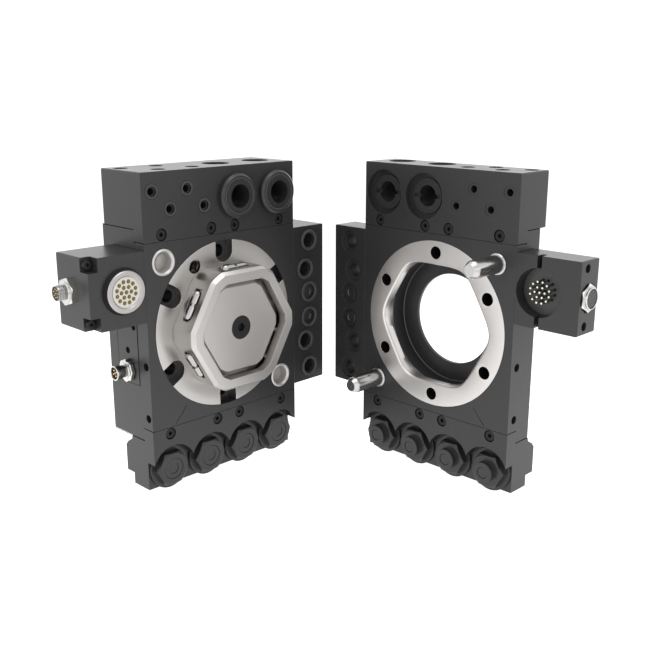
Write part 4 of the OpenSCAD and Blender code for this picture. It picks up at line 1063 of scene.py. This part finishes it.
def make_sensor_cover():
    low, high = COVER_BOX
    bm = bmesh.new()
    add_box(bm, (SENSOR_FACE - COVER_PROUD, low[1], low[2]),
            (SENSOR_FACE + COVER_SUNK, high[1], high[2]), break_edge=COVER_BREAK)
    finish_piece("sensor_cover_plate", bm, ANODISED, "master_side",
                 stands_for=("sensor_cover",))
    # Black discs where the screws are: painted shade for screws sunk in wells.
    bm = bmesh.new()
    for low, high in separate_boxes("sensor_cover_screws"):
        middle = (low + high) / 2
        spot = outward_frame((SENSOR_FACE - COVER_PROUD, middle.y, middle.z), (-1.0, 0.0, 0.0))
        add_lathe(bm, spot, ((2.9, -0.2), (2.8, 0.06), (2.5, 0.08), (2.4, 0.03),
                             (1.3, 0.03), (1.2, 0.01)), count=32)
    finish_piece("sensor_cover_well_shade", bm, SEALANT_AND_SHADE, "master_side",
                 stands_for=("sensor_cover_screws",))


make_sensor_cover()

# %% [markdown]
# ## Joints between the blocks
# The top and foot blocks are bolted on with a hair of black sealant between them, which shows as a
# thin dark line across the face and along the sides. Two solids that touch leave no line of their
# own in a render, so the bead is made as it is in life: a narrow strip that follows the joint.

# %% Sealant beads
LAP = 0.013
BEAD_W, BEAD_PROUD, BEAD_DEPTH = 0.00032, 0.00004, 0.0003


def joint_levels(half):
    """Heights of the joints: at the front, and lower or higher behind the lap, top then foot."""
    top, foot, body = (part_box(f"{half}_{part}") for part in ("top_block", "bottom_block", "body"))
    return (top[0][2], body[1][2]), (foot[1][2], body[0][2])


def make_beads(half):
    bm = bmesh.new()
    low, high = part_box(f"{half}_body")
    across, along = (0, 1) if half == "master" else (1, 0)

    def add_strip(left, right, front, back, level):
        start, end = [0.0] * 3, [0.0] * 3
        start[across], start[along], start[2] = left, front, level - BEAD_W / 2
        end[across], end[along], end[2] = right, back, level + BEAD_W / 2
        add_box(bm, start, end)

    left, right = low[across] - BEAD_PROUD, high[across] + BEAD_PROUD
    for front, behind in joint_levels(half):
        add_strip(left, left + BEAD_DEPTH, low[along] + LAP, high[along], behind)
        add_strip(right - BEAD_DEPTH, right, low[along] + LAP, high[along], behind)
        add_strip(low[across], high[across],
                  low[along] - BEAD_PROUD, low[along] + BEAD_DEPTH, front)
    finish_piece(f"{half}_joint_beads", bm, SEALANT_AND_SHADE, f"{half}_side")


make_beads("master")
make_beads("tool")


def make_cover_bead():
    bm = bmesh.new()
    (_, near, bottom), (_, far, top) = COVER_BOX
    face, half = SENSOR_FACE - COVER_PROUD - BEAD_PROUD, BEAD_W / 2
    for start, end in (((near, bottom), (near, top)), ((far, bottom), (far, top)),
                       ((near, bottom), (far, bottom)), ((near, top), (far, top))):
        add_box(bm, (face, start[0] - half, start[1] - half),
                (SENSOR_FACE + COVER_BEAD_SUNK, end[0] + half, end[1] + half))
    finish_piece("sensor_cover_bead", bm, SEALANT_AND_SHADE, "master_side")


make_cover_bead()
bare = [name for name, part in nodes.items() if not part.data.materials]
print("nodes without a finish:", bare)

# %% [markdown]
# ## The studio
# A product shot of black parts lives from what they reflect. The room is an even white all round,
# with a brighter band low on the backdrop that the flat tops reflect at a glancing angle. The floor
# is a plain pale sheet that glows, painted light, so that only a soft trace of shadow is left under
# the feet. The glow is a painted pool of light, brightest below the object, so the lower part of
# every upright face reflects more light than its top.

# %% Floor
CENTRE = Vector(((cad_box[0][axis] + cad_box[1][axis]) / 2) for axis in range(3))
FLOOR_Z = cad_box[0][2]
FLOOR_SIZE = 14.0
FLOOR_GREY = (0.45, 0.45, 0.45, 1.0)
GLOW_NEAR, GLOW_FAR = (0.25, 1.05), (1.1, 0.62)  # each a distance and how bright the sheet glows


def make_floor():
    half = FLOOR_SIZE / 2
    mesh = bpy.data.meshes.new("floor")
    corners = [(x * half, y * half, FLOOR_Z) for x, y in ((-1, -1), (1, -1), (1, 1), (-1, 1))]
    mesh.from_pydata(corners, [], [(0, 1, 2, 3)])
    floor = bpy.data.objects.new("floor", mesh)
    bpy.context.scene.collection.objects.link(floor)
    paper = bpy.data.materials.new("floor_paper")
    paper.use_nodes = True
    tree = paper.node_tree
    here = add_node(tree, "ShaderNodeNewGeometry")
    away = add_node(tree, "ShaderNodeVectorMath", here.outputs["Position"],
                    (CENTRE.x, CENTRE.y, FLOOR_Z), operation="DISTANCE")
    # painted pool of light: the floor glows brightest near the object and fades with distance
    painted_glow_pool = add_node(tree, "ShaderNodeMapRange", interpolation_type="SMOOTHSTEP",
                    Value=away.outputs["Value"], From_Min=GLOW_NEAR[0], From_Max=GLOW_FAR[0],
                    To_Min=GLOW_NEAR[1], To_Max=GLOW_FAR[1])
    feed_all(tree, tree.nodes["Principled BSDF"], Base_Color=FLOOR_GREY, Roughness=0.9,
             Specular_IOR_Level=0.0, Emission_Color=painted_glow_pool.outputs["Result"],
             Emission_Strength=1.0)
    mesh.materials.append(paper)
    return floor


make_floor()
print("floor at", round(FLOOR_Z, 4))

# %% World and light
# Brightness of the room at heights from straight down (0) over the horizon (0.5) to straight up (1)
ROOM = ((0.0, 1.1), (0.47, 1.15), (0.6, 1.9), (0.72, 1.25), (1.0, 1.05))
LAMP_PLACE, LAMP_SIDE, LAMP_POWER = Vector((-0.05, -0.3, 1.3)), 0.9, 6.0


def make_world():
    world = bpy.data.worlds.new("studio")
    bpy.context.scene.world = world
    world.use_nodes = True
    tree = world.node_tree
    direction = add_node(tree, "ShaderNodeTexCoord")
    parts = add_node(tree, "ShaderNodeSeparateXYZ", direction.outputs["Generated"])
    height = maths(tree, "MULTIPLY_ADD", parts.outputs["Z"], 0.5, 0.5)
    ramp = add_node(tree, "ShaderNodeValToRGB", height)
    stops = ramp.color_ramp.elements
    while len(stops) < len(ROOM):
        stops.new(0.5)
    for stop, (place, grey) in zip(stops, ROOM):
        stop.position = place
        stop.color = (grey, grey, grey, 1.0)
    feed_all(tree, tree.nodes["Background"], Color=ramp.outputs["Color"])
    return world


def make_overhead():
    """A soft square lamp above the object, which puts a sheen on its tops."""
    lamp = bpy.data.lights.new("overhead", "AREA")
    lamp.size, lamp.energy = LAMP_SIDE, LAMP_POWER
    holder = bpy.data.objects.new("overhead", lamp)
    holder.location = LAMP_PLACE
    holder.rotation_euler = (CENTRE - LAMP_PLACE).to_track_quat("-Z", "Y").to_euler()
    bpy.context.scene.collection.objects.link(holder)


make_world()
make_overhead()

# %% [markdown]
# ## The camera
# The camera stands in front of the corner between the halves and looks down a little, with the 45
# degree directions of the two mating faces on either side.

# %% Camera
CAMERA_PLACE = Vector((-0.4728, -0.6515, 0.2002))
DOWNWARD, SIDEWAYS = math.radians(15), math.radians(45)
LENS, SENSOR_WIDTH, FARTHEST = 50, 36, 60


def make_camera():
    lens = bpy.data.cameras.new("camera")
    lens.lens, lens.sensor_width, lens.clip_end = LENS, SENSOR_WIDTH, FARTHEST
    camera = bpy.data.objects.new("camera", lens)
    camera.location = CAMERA_PLACE
    camera.rotation_euler = (math.pi / 2 - DOWNWARD, 0, -SIDEWAYS)
    bpy.context.scene.collection.objects.link(camera)
    bpy.context.scene.camera = camera
    return camera


make_camera()
bpy.context.scene.view_settings.view_transform = "Standard"
print("camera at", [round(v, 4) for v in CAMERA_PLACE])
